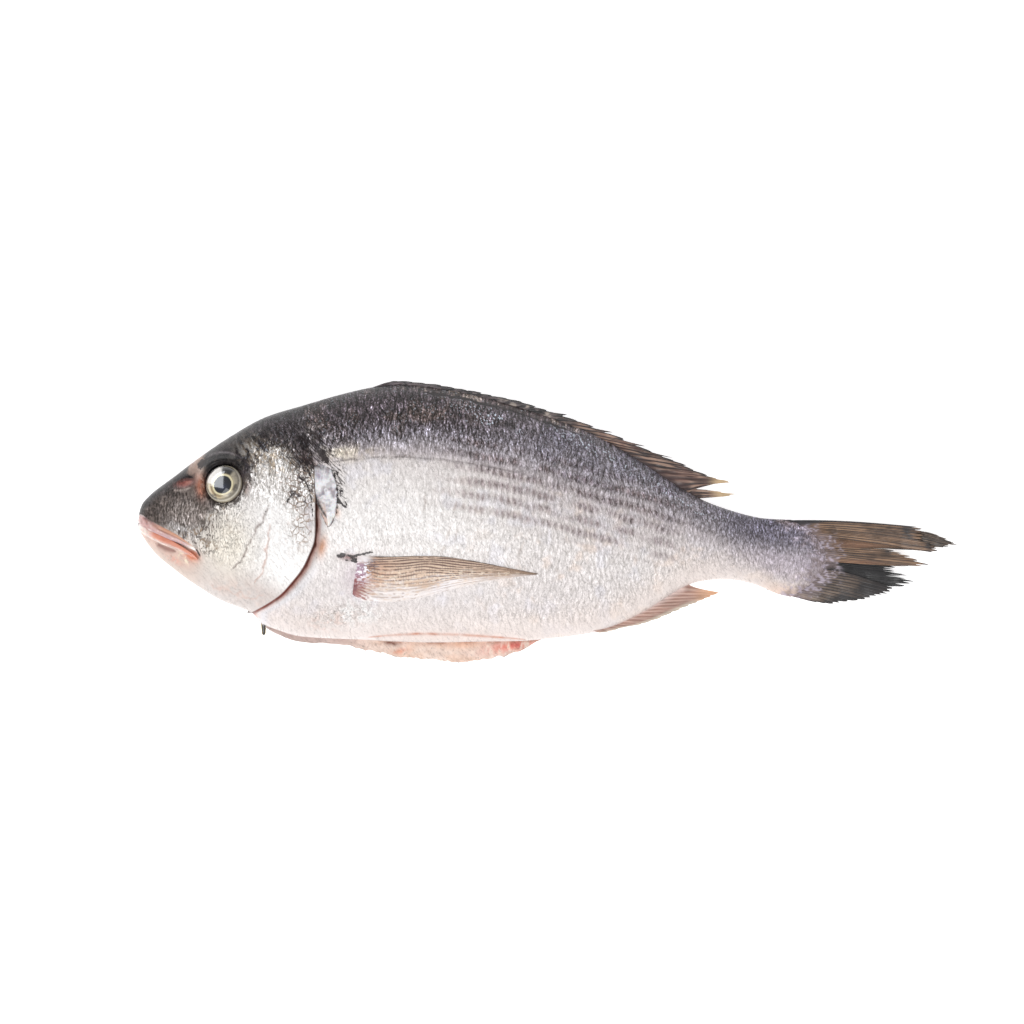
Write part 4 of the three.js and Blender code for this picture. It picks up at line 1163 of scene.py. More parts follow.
    def _head_ink(self, x: Array, y: Array, grain: Array) -> Array:
        """The field of the head's black lines: lip edge, brow, nostril, creases of cheek and gill cover."""
        w = 0.25 * grain
        bend = 0.8 * noise(x, y, 2.6, 97, 2)
        lines = [
            crisp(x + w, y, ((-136.4, 14.6), (-134.6, 16), (-132.4, 16.4), (-130, 16)), 0.75) + 0.3 * grain,
            crisp(x + w, y, ((-125.6, 17), (-125.3, 14.6), (-125.6, 11.4)), 0.16) + 0.4 * grain,
            1.2 * blob(x, y, (-126.4, 21), (2.2, 1.6), 35) + 0.2 * grain,
            crisp(x + w + 1.4 * bend, y, self.cheek_line, 0.15) + 0.6 * grain - 0.62,
            crisp(x, y + w, ((-86.6, 13.2), (-89.6, 12), (-92.8, 10.4), (-95, 7.6), (-95.2, 4.4)),
                  0.24) + 0.4 * grain,
            crisp(x + w, y, ((-86.2, 15.6), (-87.4, 18.4), (-88.6, 20.2)), 0.3) + 0.3 * grain,
            crisp(x + w, y, ((-91, 16), (-88.5, 14.5), (-86.8, 11), (-86, 6), (-85.8, 0)), 0.26) + 0.3 * grain,
            crisp(x, y, ((-128.6, -10.2), (-127.6, -11.6), (-127, -13)), 0.3),
        ]
        return np.maximum.reduce(lines)

    def _nostril(self, p: Paint, x: Array, y: Array) -> None:
        """The nostril: a pink pit with a pale crescent below it, in dark skin."""
        p.dab((44, 36, 36), 0.8, (-132.8, 15.6), (4.2, 2.4), 20)
        p.lay((198, 184, 176), 0.5 * stroke(x, y, ((-136.4, 11.2), (-133.5, 11.2), (-130.4, 12.2)), 0.5))
        p.lay((146, 84, 76), 0.97 * spot(x, y, (-132.6, 13.8), (2.8, 1.2), 14))
        p.dab((206, 146, 134), 0.7, (-131.4, 14), (1.3, 0.6), 14)
        p.lay((70, 36, 34), 0.7 * stroke(x, y, ((-135, 14), (-132.8, 14.9), (-130.4, 15)), 0.3))

    def _lip_skin(self, p: Paint, x: Array, y: Array, patch: Array) -> None:
        """Pink skin round the mouth: brownish under the lower lip, orange at its corner with a pale knot."""
        crumbs = noise(x, y, 0.9, 93, 2)
        p.lay((226, 184, 170), 0.5 * stroke(x, y, ((-149, -3.5), (-143, -7.5), (-136, -11.5), (-130.5, -14.5)),
                                            3.0, tapered=False))
        p.lay((140, 100, 92), 0.85 * stroke(x, y, ((-143.5, -8.2), (-140, -9.9), (-136, -11.2)), 1.1)
              * ease(patch, -1.1, 0.0))
        p.lay((218, 132, 98), 0.95 * spot(x, y, (-130, -12.6), (2.5, 1.7), -30, gain=1.4))
        p.dab((252, 244, 216), 0.9, (-132.6, -13.6), (3, 1.3), -32, ease(crumbs, -0.1, 0.3))
        p.dab((226, 160, 140), 0.6, (-136.5, -14.2), (3.2, 1.2), -30, ease(crumbs, -0.4, 0.3))

    def _head_lines(self, p: Paint, x: Array, y: Array, streak: Array, grain: Array) -> None:
        """The creases of cheek, gill cover and jaw, a pale strip at the cover's rear and a brown patch on it.
        """
        bend = 0.8 * noise(x, y, 2.6, 97, 2)
        p.lay((128, 108, 102), 0.8 * stroke(x + 0.25 * grain + 1.4 * bend, y, self.cheek_line, 0.42)
              * ease(streak, -1.6, -0.4))
        p.lay((186, 140, 122), 0.65 * stroke(x + 0.2 * grain + 0.6 * bend, y, self.cover_line, 0.34))
        p.lay((212, 188, 178), 0.7 * stroke(x, y + 0.3 * grain + 1.2 * bend, self.jaw_line, 0.5))
        p.lay((198, 192, 196), 0.7 * stroke(x, y, ((-87.5, 8), (-86.6, 1), (-86.8, -5)), 1.5))
        p.dab((186, 150, 128), 0.5, (-90.5, -3), (4.5, 7), 6, ease(grain, 0.1, 0.7))


# ---------- skins ----------


@dataclass
class Head:
    """The head's skin: gill cover, cheek, eye socket, nostril and the groove of the mouth."""

    body: Body
    coat: Coat
    columns: int = 230
    rows: int = 250
    closing: tuple[float, ...] = (0.97, 0.9, 0.75, 0.4, 0.1)
    crowd: float = 1.45
    first: float = 0.022
    cover_lift: float = 1.3
    cover_reach: float = 13.0
    cheek_edge: Points = ((16, -99.6), (4, -101.8), (-8, -108.4), (-17, -114))
    cheek_step: float = 0.8
    eye: tuple[float, float] = (EYE_X, EYE_Y)
    eye_radius: float = 7.0
    socket_depth: float = 3.4
    socket_lip: float = 1.7
    rim_height: float = 0.55
    nostril: tuple[float, float] = (-132.4, 14.2)
    mouth: Points = (
        (-151.5, -0.4), (-148.4, -1.2), (-144.9, -3.7), (-139.8, -6.2), (-134.7, -8.5), (-129.9, -11.3),
        (-127.9, -13),
    )

    def relief(self, x: Array, y: Array) -> Array:
        """What stands out from the head's side: cover, cheek step, creases, eye rim and pits, added up."""
        body = self.body
        to_edge = body.gill_x(y) - x
        cover = self.cover_lift * body.gill_open(y) * fall(to_edge, 0, self.cover_reach)
        past = x - Profile(self.cheek_edge)(y)
        in_cheek = ease(y, -21, -15) * fall(y, 12, 20)
        step = self.cheek_step * in_cheek * (ease(past, -9, -1) - ease(past, -1, 3))
        creases = 0.4 * stroke(x, y, self.coat.cheek_line, 0.6) + 0.3 * stroke(x, y, self.coat.cover_line, 0.6)
        creases = creases + 0.25 * stroke(x, y, self.coat.jaw_line, 0.7)
        mouth = 1.5 * stroke(x, y, self.mouth, 0.7, tapered=False)
        r = np.hypot(x - self.eye[0], y - self.eye[1])
        rim = self.rim_height * bell(r - self.eye_radius - 1.9, 0.9)
        socket = self.socket_lip * fall(r, self.eye_radius - 0.2, self.eye_radius + 1.5)
        socket = (socket + (self.socket_depth - self.socket_lip)
                  * fall(r, self.eye_radius - 0.6, self.eye_radius - 0.1))
        brow = 0.5 * stroke(x, y, ((-128, 18.5), (-121, 23.2), (-113, 22.5)), 1.8)
        pit = 1.9 * blob(x, y, self.nostril, (2.7, 1.2), 16)
        lip = 0.35 * stroke(x, y, ((-137.5, 11.6), (-133.5, 11.9), (-129.4, 14)), 0.8)
        plates = 0.22 * noise(x, y, 3.4, 81, 2) * blob(x, y, (-90.5, 5), (7, 15), 4)
        folds = 0.3 * noise(x + 0.45 * y, y, 2.6, 83, 2, stretch=4.0) * blob(x, y, (-91, 27), (8, 10), -25)
        soft = 0.1 * noise(x, y, 3.0, 91)
        return cover + step - creases - mouth + rim - socket + brow - pit + lip + plates + folds + soft

    def build(self, bench: Workbench, material: Material) -> None:
        """Builds the left and the right half of the head's skin."""
        shares = row_shares(self.rows)
        s = np.linspace(0, 1, self.columns) ** self.crowd
        s = self.first**2 + (1 - self.first**2) * s
        body = self.body
        chord_y = mix(body.back_y(np.array(body.nape_x)), body.belly_y(np.array(body.throat_x)), shares)
        bow = body.gill_x(chord_y) - mix(body.nape_x, body.throat_x, shares)

        def place(along: Array, share: Array, arch: Array) -> tuple[Array, Array]:
            """(x, y) at shares of the way back and down: straight lines down the head, bowed to the slit."""
            top, low = mix(body.snout_x, body.nape_x, along), mix(body.snout_x, body.throat_x, along)
            x = mix(top[:, None], low[:, None], share[None, :]) + (along**2)[:, None] * arch[None, :]
            y = mix(body.back_y(top)[:, None], body.belly_y(low)[:, None], share[None, :])
            return x, y

        x, y = place(s, shares, bow)
        hem = np.array([0.12, 0.02, -1.6])[:, None]
        drop = np.array([0.3, 1.1, 4.6])[:, None]
        opened = body.gill_open(y[-1:])
        xs = np.concatenate([x, x[-1:] + hem * opened + 0.35 * np.arange(1, 4)[:, None] * (1 - opened) * 0.02])
        ys = np.concatenate([y, np.repeat(y[-1:], 3, 0)])
        fade = np.minimum(1, 5 * np.minimum(shares, 1 - shares))[None, :]
        relief = self.relief(xs, ys)
        relief[-3:] = relief[-4:-3] - drop * opened
        relief = relief * fade
        both = {side: body.skin_z(xs, ys, side, relief) for side in (LEFT, RIGHT)}
        for side in (LEFT, RIGHT):
            both[side][:, 0] = body.core_z(xs[:, 0], ys[:, 0], side)
            both[side][:, -1] = body.core_z(xs[:, -1], ys[:, -1], side)
        inner = np.array(self.closing)
        inner_arch = np.interp(inner, shares, bow)
        cx, cy = place(s, inner, inner_arch)
        cx = np.concatenate([cx, cx[-1:] + np.array([0.0, 0.0, -1.2])[:, None]])
        cy = np.concatenate([cy, np.repeat(cy[-1:], 3, 0)])
        for side in (LEFT, RIGHT):
            outer = np.stack([xs, ys, both[side]], -1)
            closing = np.stack([cx, cy, body.core_z(cx, cy, side)], -1)
            sheet = two_skins(outer, closing, np.stack([xs, ys, both[-side]], -1), side)
            dress(sheet, self.coat.head(xs, ys), self.coat.scale_uv(xs, ys),
                  np.broadcast_to(BLOOD, (*cx.shape, 3)))
            bench.build(sided("head_skin", side), sheet, material, "skin")


def row_shares(count: int) -> Array:
    """Shares of the way from back to belly, closer at both edges: a quarter even, three quarters cosine."""
    t = np.linspace(0, 1, count)
    return 0.25 * t + 0.75 * (1 - np.cos(math.pi * t)) / 2


def two_skins(outer: Array, closing: Array, other: Array, side: int, gape: Array | None = None) -> Sheet:
    """A closed half of the body: its outer skin from back to belly, then its inner face back up.

    Args:
        outer: the skin's points, of shape (columns, rows, 3).
        closing: the inner face's points, from belly to back.
        other: the other half's skin, which gives the slope across the edge of the back.
        side: the flank.
        gape: for each column, 1 where the halves part at the belly and 0 where they meet.

    Returns:
        The sheet with normals that run on smoothly from one half to the other.
    """
    rings = np.hstack([outer, closing])
    sheet = lofted(rings)
    before = np.hstack([other[:, 1:2], outer[:, :-1]])
    beyond = other[:, -2:-1] if gape is None else mix(other[:, -2:-1], closing[:, :1], gape[:, None, None])
    after = np.hstack([outer[:, 1:], beyond])
    along = np.gradient(outer, axis=0)
    normal = np.cross(along, after - before) * -side
    inner = grid_normals(closing) * -side
    inner = np.where(inner[..., 2:3] * -side < 0, -inner, inner)
    normal /= np.maximum(np.linalg.norm(normal, axis=-1, keepdims=True), 1e-12)
    sheet.normals = np.hstack([normal, inner])
    return sheet


def dress(sheet: Sheet, looks: Looks, uv: Array, inner_tint: Array) -> None:
    """Adds the paint layers to a sheet of two skins; the inner face gets a plain wet finish without scales."""
    inside = inner_tint.shape[:2]
    plain = np.broadcast_to(np.array([0.0, 0.3, 0.0]), (*inside, 3))
    sheet.tint = np.hstack([looks.tint, inner_tint]) / LIGHT_LEVEL
    sheet.finish = np.hstack([looks.finish, plain])
    sheet.marks = np.hstack([looks.marks, np.zeros((*inside, 3))])
    sheet.lines = np.hstack([looks.lines, np.zeros((*inside, 3))])
    sheet.scales = np.hstack([uv, np.zeros((*inside, 2))])


@dataclass
class Trunk:
    """The skin behind the head, in two halves that part along the knife's cut."""

    body: Body
    coat: Coat
    columns: int = 400
    rows: int = 222
    groove_depth: float = 2.2
    groove_width: float = 4.0
    scale_relief: float = 0.13
    depths: tuple[float, ...] = (0.2, 0.5, 0.9, 1.4, 2, 2.8, 3.8, 5, 6.4, 8, 10, 13, 18)
    cut_depth: float = 8.5
    ragged: float = 0.45

    def build(self, bench: Workbench, material: Material) -> None:
        """Builds the left and the right half of the trunk."""
        shares = row_shares(self.rows)
        s = np.linspace(0, 1, self.columns)
        skins = {side: self._outer(s, shares, side) for side in (LEFT, RIGHT)}
        gape = ease(skins[LEFT][:, -1, 2] - skins[RIGHT][:, -1, 2], 0.1, 2.0)
        for side in (LEFT, RIGHT):
            outer = skins[side]
            closing = self._inner(s, side)
            sheet = two_skins(outer, closing, skins[-side], side, gape)
            x, y = outer[..., 0], outer[..., 1]
            dress(sheet, self.coat.trunk(x, y, side), self.coat.scale_uv(x, y), self._wall(closing, side))
            bench.build(sided("trunk_skin", side), sheet, material, "skin")

    def _place(self, s: Array, share: Array, side: int) -> tuple[Array, Array]:
        """(x, y) at a share of the way to the tail and down: straight lines, bowed back at both ends."""
        body = self.body
        end = body.flesh_end_x - body.flesh_bow
        top, low = mix(body.nape_x, end, s), mix(body.throat_x, end, s)
        chord_y = mix(body.back_y(np.array(body.nape_x)), body.belly_y(np.array(body.throat_x)), share)
        arch = body.gill_x(chord_y) - mix(body.nape_x, body.throat_x, share)
        tail_arch = body.flesh_bow * 4 * share * (1 - share)
        x = mix(top[:, None], low[:, None], share) + (1 - s[:, None]) ** 3 * arch + s[:, None] ** 8 * tail_arch
        edge = body.low_y(low, side)
        if side == RIGHT:
            edge = edge + self.ragged * noise(low, 0 * low, 2.6, 95) * ease(body.spread(low), 1, 4)
        return x, mix(body.back_y(top)[:, None], edge[:, None], share)

    def _outer(self, s: Array, shares: Array, side: int) -> Array:
        """The outer skin: the plain side less the gill slit, plus scales, creases and the flap's lip."""
        body = self.body
        x, y = self._place(s, shares[None, :], side)
        behind = x - body.gill_x(y)
        groove = self.groove_depth * body.gill_open(y) * fall(behind, 0, self.groove_width)
        scaled = ease(behind, 3, 8) * ease(y - body.low_y(x, side), 2, 8) * fall(x, 90, 100)
        relief = self.scale_relief * scaled * self.coat.scale_height(self.coat.scale_uv(x, y))
        relief = relief + 0.1 * noise(x, y, 3.0, 91) - groove
        if side == LEFT:
            relief = relief - 0.55 * stroke(x, y, self.coat.lip_crease, 0.6)
            relief = (relief + 0.3 * noise(x + 0.45 * y, y, 2.6, 83, 2, stretch=4.0)
                      * blob(x, y, (-86, 27), (7, 9), -25))
        relief = relief * np.minimum(1, 9 * np.minimum(shares, 1 - shares))[None, :]
        half = np.maximum(0.0, body.half(x, y, side) + relief)
        z = np.maximum(body.pressed, body.core_z(x, y, side) + side * half)
        return np.stack([x, y, z], -1)

    def _inner(self, s: Array, side: int) -> Array:
        """The inner face: the body's middle, where the left one comes down to the right one behind the cut."""
        body = self.body
        low = mix(body.throat_x, body.flesh_end_x - body.flesh_bow, s)
        run = body.back_y(low) - body.low_y(low, side)
        share = 1 - np.minimum(np.array(self.depths)[None, :] / np.maximum(run[:, None], 19.5), 0.93)
        x, y = self._place(s, share, side)
        depth = np.array(self.depths)[None, :]
        z = body.core_z(x, y, RIGHT)
        if side == LEFT:
            z = mix(body.core_z(x, y, LEFT), z + 0.05, ease(depth, 1.0, self.cut_depth))
        flesh = 0.28 * noise(x, y, 2.4, 97) * ease(depth, 0, 1.5) * ease(body.spread(x), 0.5, 3)
        return np.stack([x, y, z + flesh], -1)

    def _wall(self, closing: Array, side: int) -> Array:
        """Colours of the cut belly's inner wall: pale pink, brownish in front, blood red at its rear end,
        and a painted shadow under the left flap's edge.
        """
        x, y = closing[..., 0], closing[..., 1]
        mottled = noise(x, y, 2.2, 101)
        p = Paint(WALL_PINK, x, y)
        p.lay((238, 200, 176), 0.5 * ease(noise(x, y, 7.0, 103, stretch=0.4), -0.2, 0.7))
        p.lay((212, 190, 184), 0.85 * fall(x, -78, -62))
        p.dab((236, 176, 138), 0.6, (-31, -45), (8, 1.8))
        p.dab((222, 140, 104), 0.8, (-54.5, -47.8), (3.4, 1), 5, ease(mottled, -0.5, 0.3))
        streaks = noise(x, y, 1.6, 105, stretch=2.2)
        p.dab(WALL_RED, 0.95, (-13, -45.6), (10.5, 2.4), 10, ease(streaks, -0.5, 0.1))
        p.dab((196, 70, 62), 0.8, (-11, -45.2), (6, 1.4), 12, ease(streaks, 0.0, 0.5))
        p.lay((112, 58, 34), 0.95 * spot(x, y, (-57.5, -44.9), (2.6, 0.8), -6))
        # Painted shadow: a thin brown line just under the left flap's edge
        p.lay((168, 106, 82), 0.8 * bell(y - self.body.belly_y(x), 0.6) * ease(x, -62, -52))
        p.shade(1 + 0.09 * mottled)
        if side == LEFT:
            p.lay((170, 110, 98), np.full(x.shape, 0.6))
        return p.colour


# ---------- face ----------


def spline(points: Array, count: int) -> Array:
    """A smooth path through points: a Catmull-Rom curve, each run weighing four points by cubic terms.

    Args:
        points: the points, of shape (n, 3).
        count: how many points the path has.

    Returns:
        The path, of shape (count, 3).
    """
    p = np.concatenate([2 * points[:1] - points[1:2], points, 2 * points[-1:] - points[-2:-1]])
    at = np.linspace(0, len(points) - 1 - 1e-9, count)
    k = at.astype(int)
    t = (at - k)[:, None]
    a, b, c, d = p[k], p[k + 1], p[k + 2], p[k + 3]
    return 0.5 * (2 * b + (c - a) * t + (2 * a - 5 * b + 4 * c - d) * t**2 + (3 * b - a - 3 * c + d) * t**3)


def tube(path: Array, out: Array, tall: Array, wide: Array, sides: int) -> Array:
    """Rings round a path: centre + out times tall cos(turn) + side times wide sin(turn).

    Args:
        path: the middle line.
        out: the direction away from the skin at each of its points.
        tall: the half height along that direction.
        wide: the half width across it.
        sides: points of a ring.

    Returns:
        The rings, of shape (path, sides, 3).
    """
    along = np.gradient(path, axis=0)
    side = np.cross(out, along)
    side /= np.linalg.norm(side, axis=1, keepdims=True)
    turn = np.linspace(0, 2 * math.pi, sides, endpoint=False)[None, :, None]
    return (path[:, None] + out[:, None] * (tall[:, None, None] * np.cos(turn)) + side[:, None]
            * (wide[:, None, None] * np.sin(turn)))


@dataclass(frozen=True)
class WetFlesh:
    """Bare wet skin, lips and cut flesh: the painted tint under a clear film, with some light in its depth."""

    roughness: float = 0.3
    coat: float = 0.6
    grain: float = 1500.0
    relief: float = 0.00012

    def material(self) -> Material:
        """Builds the finish."""
        g = Graph("wet_flesh")
        grain = g.speckle(g.place(), self.grain, 3.0)
        g.set(Base_Color=g.brighten(g.attribute("tint"), (grain - 0.5) * 0.18 + 1.0),
              Roughness=grain * 0.2 + self.roughness - 0.1)
        g.set(Coat_Weight=self.coat, Coat_Roughness=0.1, Subsurface_Weight=0.12, Subsurface_Scale=0.0015)
        g.bump(grain, self.relief)
        return g.material


@dataclass
class Mouth:
    """Both lips: tapered beads that run from the right corner of the mouth round the snout to the left one."""

    body: Body
    line: Points = ((-148.4, -1.2), (-144.9, -3.7), (-139.8, -6.2), (-134.7, -8.5), (-129.9, -11.3),
                    (-127.9, -13))
    steps: int = 220
    sides: int = 20
    sink: float = 0.35

    def build(self, bench: Workbench, material: Material) -> None:
        """Builds the upper and the lower lip."""
        self._lip(bench, material, "lip_upper", 1.7, 1.0, 2.0, rgb(204, 164, 160), rgb(170, 122, 118))
        self._lip(bench, material, "lip_lower", -1.3, 0.75, 1.75, rgb(226, 204, 194), rgb(206, 164, 150))

    def _lip(self, bench: Workbench, material: Material, name: str, offset: float, tall: float, wide: float,
             pale: Array, deep: Array) -> None:
        """One lip, offset from the mouth's line: its half height and half width shrink towards the corners."""
        body = self.body
        spots = [(x, y + offset) for x, y in self.line]
        front = np.array([body.snout_x + 0.9, spots[0][1], float(body.middle_z(np.array(body.snout_x)))])
        sides = {side: [body.on_skin(x, y, side, -self.sink * tall) for x, y in spots] for side in (LEFT,
                                                                                                    RIGHT)}
        ways = {side: [body.out_of(x, y, side) for x, y in spots] for side in (LEFT, RIGHT)}
        path = spline(np.array(sides[RIGHT][::-1] + [front] + sides[LEFT]), self.steps)
        out = spline(np.array(ways[RIGHT][::-1] + [np.array([-1.0, 0.0, 0.0])] + ways[LEFT]), self.steps)
        out /= np.linalg.norm(out, axis=1, keepdims=True)
        t = np.linspace(0, 1, self.steps)
        to_corner = np.minimum(t, 1 - t)
        swell = 0.22 + 0.78 * ease(to_corner, 0.0, 0.3)
        rings = tube(path, out, tall * swell, wide * swell, self.sides)
        turn = circle(self.sides)
        lines = noise(t[:, None] * 60, np.sin(turn) * 3.2 + 0 * t[:, None], 5.0, 111, stretch=0.07)
        rings = rings + (rings - path[:, None]) * (0.15 * lines)[..., None]
        border = math.copysign(1.0, offset) * np.sin(turn) + 0 * t[:, None]
        along = to_corner[:, None] + 0 * turn
        p = Paint(pale, along, border)
        p.lay(deep, 0.9 * ease(lines, -0.1, 0.4))
        p.lay((128, 88, 86), 0.5 * ease(lines, 0.5, 0.9))
        p.lay((236, 212, 204), 0.6 * ease(-lines, 0.3, 0.9))
        p.lay(deep, 0.7 * ease(-border, 0.35, 1.0))
        fine = noise(t[:, None] * 60, np.sin(turn) * 6.0 + 0 * t[:, None], 1.6, 113, stretch=0.22)
        p.lay((146, 98, 94), 0.45 * ease(fine, 0.15, 0.6))
        p.lay((244, 228, 226), 0.5 * ease(-fine, 0.3, 0.8))
        rear = fall(along, 0.24, 0.36)
        if offset > 0:
            p.lay((196, 170, 176), 0.6 * rear * fall(border, -0.2, 0.2) * ease(fine, -0.5, 0.3))
            p.lay((216, 160, 130), 0.85 * ease(border, 0.2, 0.4) * rear)
            p.lay((112, 60, 54), 0.75 * bell(border - 0.24, 0.09) * rear)
            # A painted highlight: a thin bright line that stands in for a glint along the upper lip's crease
            p.lay((254, 240, 228), 0.85 * bell(border - 0.1, 0.08) * rear * ease(fine, -0.5, 0.1))
            p.lay((82, 64, 62), 0.85 * ease(border + 0.3 * fine, 0.3, 0.9) * ease(along, 0.26, 0.42))
            p.lay((254, 248, 242), 0.97 * bell(along - 0.07, 0.035) * fall(border, 0.5, 0.9))
        else:
            near = fall(border + 0.2 * fine, -0.3, 0.6)
            p.lay((214, 132, 104), 0.9 * near * fall(along, 0.3, 0.38))
            p.lay((240, 226, 218), 0.8 * ease(along, 0.3, 0.42) * ease(fine, -0.6, 0.2))
            p.lay((220, 132, 102), 0.75 * fall(along, 0.04, 0.14))
        bench.build(name, lofted(rings, tint=p.colour / LIGHT_LEVEL), material, "flesh")


@dataclass(frozen=True)
class EyeGlass:
    """A moist eye: the painted iris under a clear, very smooth coat."""

    roughness: float = 0.22
    coat_roughness: float = 0.02

    def material(self) -> Material:
        """Builds the finish."""
        g = Graph("eye_glass")
        fibres = g.speckle(g.place(), 1800.0, 3.0)
        g.set(Base_Color=g.brighten(g.attribute("tint"), (fibres - 0.5) * 0.5 + 1.0), Roughness=self.roughness)
        g.set(Coat_Weight=1.0, Coat_Roughness=self.coat_roughness, Coat_IOR=1.45, Specular_IOR_Level=0.15)
        return g.material


@dataclass
class Eyes:
    """Both eyeballs, each a flattened ball that faces out of the head."""

    body: Body
    x: float = EYE_X
    y: float = EYE_Y
    radius: float = 7.0
    depth: float = 4.4
    rise: float = -1.7
    pupil: float = 3.25
    gaze: tuple[float, float] = (0.75, -1.3)
    rings: int = 120
    around: int = 128

    def middle(self, side: int) -> Array:
        """The eyeball's middle, in fish coordinates."""
        return self.body.on_skin(self.x, self.y, side) + self.rise * self.body.out_of(self.x, self.y, side)

    def build(self, bench: Workbench, material: Material) -> list[Object]:
        """Builds both eyes: radius sin(t) across and depth cos(t) out, t from the pupil round to the back."""
        t = np.radians(np.linspace(0.3, 179.7, self.rings))[:, None]
        turn = circle(self.around)
        local = np.stack(np.broadcast_arrays(
            self.radius * np.sin(t) * np.cos(turn), self.radius * np.sin(t) * np.sin(turn),
            self.depth * np.cos(t)), -1)
        made = []
        for side in (LEFT, RIGHT):
            out = self.body.out_of(self.x, self.y, side)
            ahead = np.array([1.0, 0.0, 0.0]) - out[0] * out
            ahead /= np.linalg.norm(ahead)
            up = np.cross(out, ahead) * side
            points = self.middle(side) + local @ np.stack([ahead, up, out])
            tint = self._iris(self.radius * np.sin(t) + 0 * turn, turn + 0 * t, np.cos(t) + 0 * turn)
            made.append(bench.build(sided("eyeball", side), lofted(points, tint=tint / LIGHT_LEVEL), material,
                                    "eye"))
        return made

    def _iris(self, r: Array, turn: Array, front: Array) -> Array:
        """Colours by the distance from the pupil's middle: pupil, gold ring, flecked pale iris, clear rim, a
        painted highlight at the upper left and a painted dark reflection above the pupil.

        Args:
            r: distance from the eyeball's axis.
            turn: angle round it, from the tail's side up.
            front: 1 at the front pole and -1 at the back one.

        Returns:
            The colour for each place.
        """
        a, b = r * np.cos(turn), r * np.sin(turn)
        near = np.exp(-((r / 6.4) ** 4))
        da, db = a - self.gaze[0] * near, b - self.gaze[1] * near
        ring, angle = np.hypot(da, db), np.degrees(np.arctan2(db, da))
        flecks = noise(a, b, 1.4, 121)
        wobble = ring + 0.10 * noise(a, b, 2.4, 127, 2)

        def sector(middle: float, half: float) -> Array:
            """1 near an angle in degrees, and 0 past a half width from it."""
            away = np.abs((angle - middle + 180.0) % 360.0 - 180.0)
            return fall(away, 0.55 * half, half)

        p = Paint((186, 176, 154), a, b)
        p.lay((140, 132, 118), 0.8 * sector(-10, 75) * ease(wobble, 3.9, 5.0))
        p.lay((132, 104, 66), 0.8 * sector(215, 60) * bell(wobble - 4.6, 0.45))
        p.lay((226, 206, 168), 0.8 * sector(220, 62) * bell(wobble - 5.3, 0.3))
        p.lay((62, 56, 52), 0.85 * sector(-35, 42) * bell(wobble - 4.7, 0.5) * ease(flecks, -0.5, 0.3))
        p.lay((84, 78, 72), 0.8 * ease(flecks, 0.1, 0.6) * ease(wobble, 4.0, 4.8) * fall(wobble, 6.0, 6.6))
        # A painted highlight: the window's glint on the upper left, where the brow keeps it off the real cornea
        glare = fall(da, -0.25, 0.05) * ease(db + 0.25 * da, -0.6, -0.1) * ease(wobble, 3.3, 3.6)
        p.lay((236, 232, 228), 0.85 * glare)
        p.lay((40, 38, 42), 0.9 * stroke(a, b, ((-5, 3.4), (-4.2, 4.4), (-3.2, 5)), 0.42))
        # A painted reflection: the dark patch above the pupil mirrors the black brow
        p.lay((26, 24, 26), 0.97 * sector(72, 30) * ease(wobble, 3.9, 4.2) * fall(r, 6.3, 6.6))
        p.lay((226, 216, 176), 0.92 * bell(wobble - 3.72, 0.36))
        p.lay((120, 100, 62), 0.5 * bell(wobble - 4.15, 0.16))
        p.lay((104, 98, 90), 0.6 * ease(r, 5.6, 6.0) * fall(r, 6.25, 6.45))
        p.lay((212, 206, 194), 0.85 * bell(r - 6.55, 0.17) * (1 - 0.8 * sector(85, 45)))
        p.lay((18, 20, 28), 1 - ease(wobble, self.pupil, self.pupil + 0.25))
        p.lay((30, 38, 66), 0.6 * blob(da, db, (0.3, -1), (1.6, 1.3)))
        p.lay((96, 84, 78), ease(-front, -0.2, 0.0))
        return p.colour


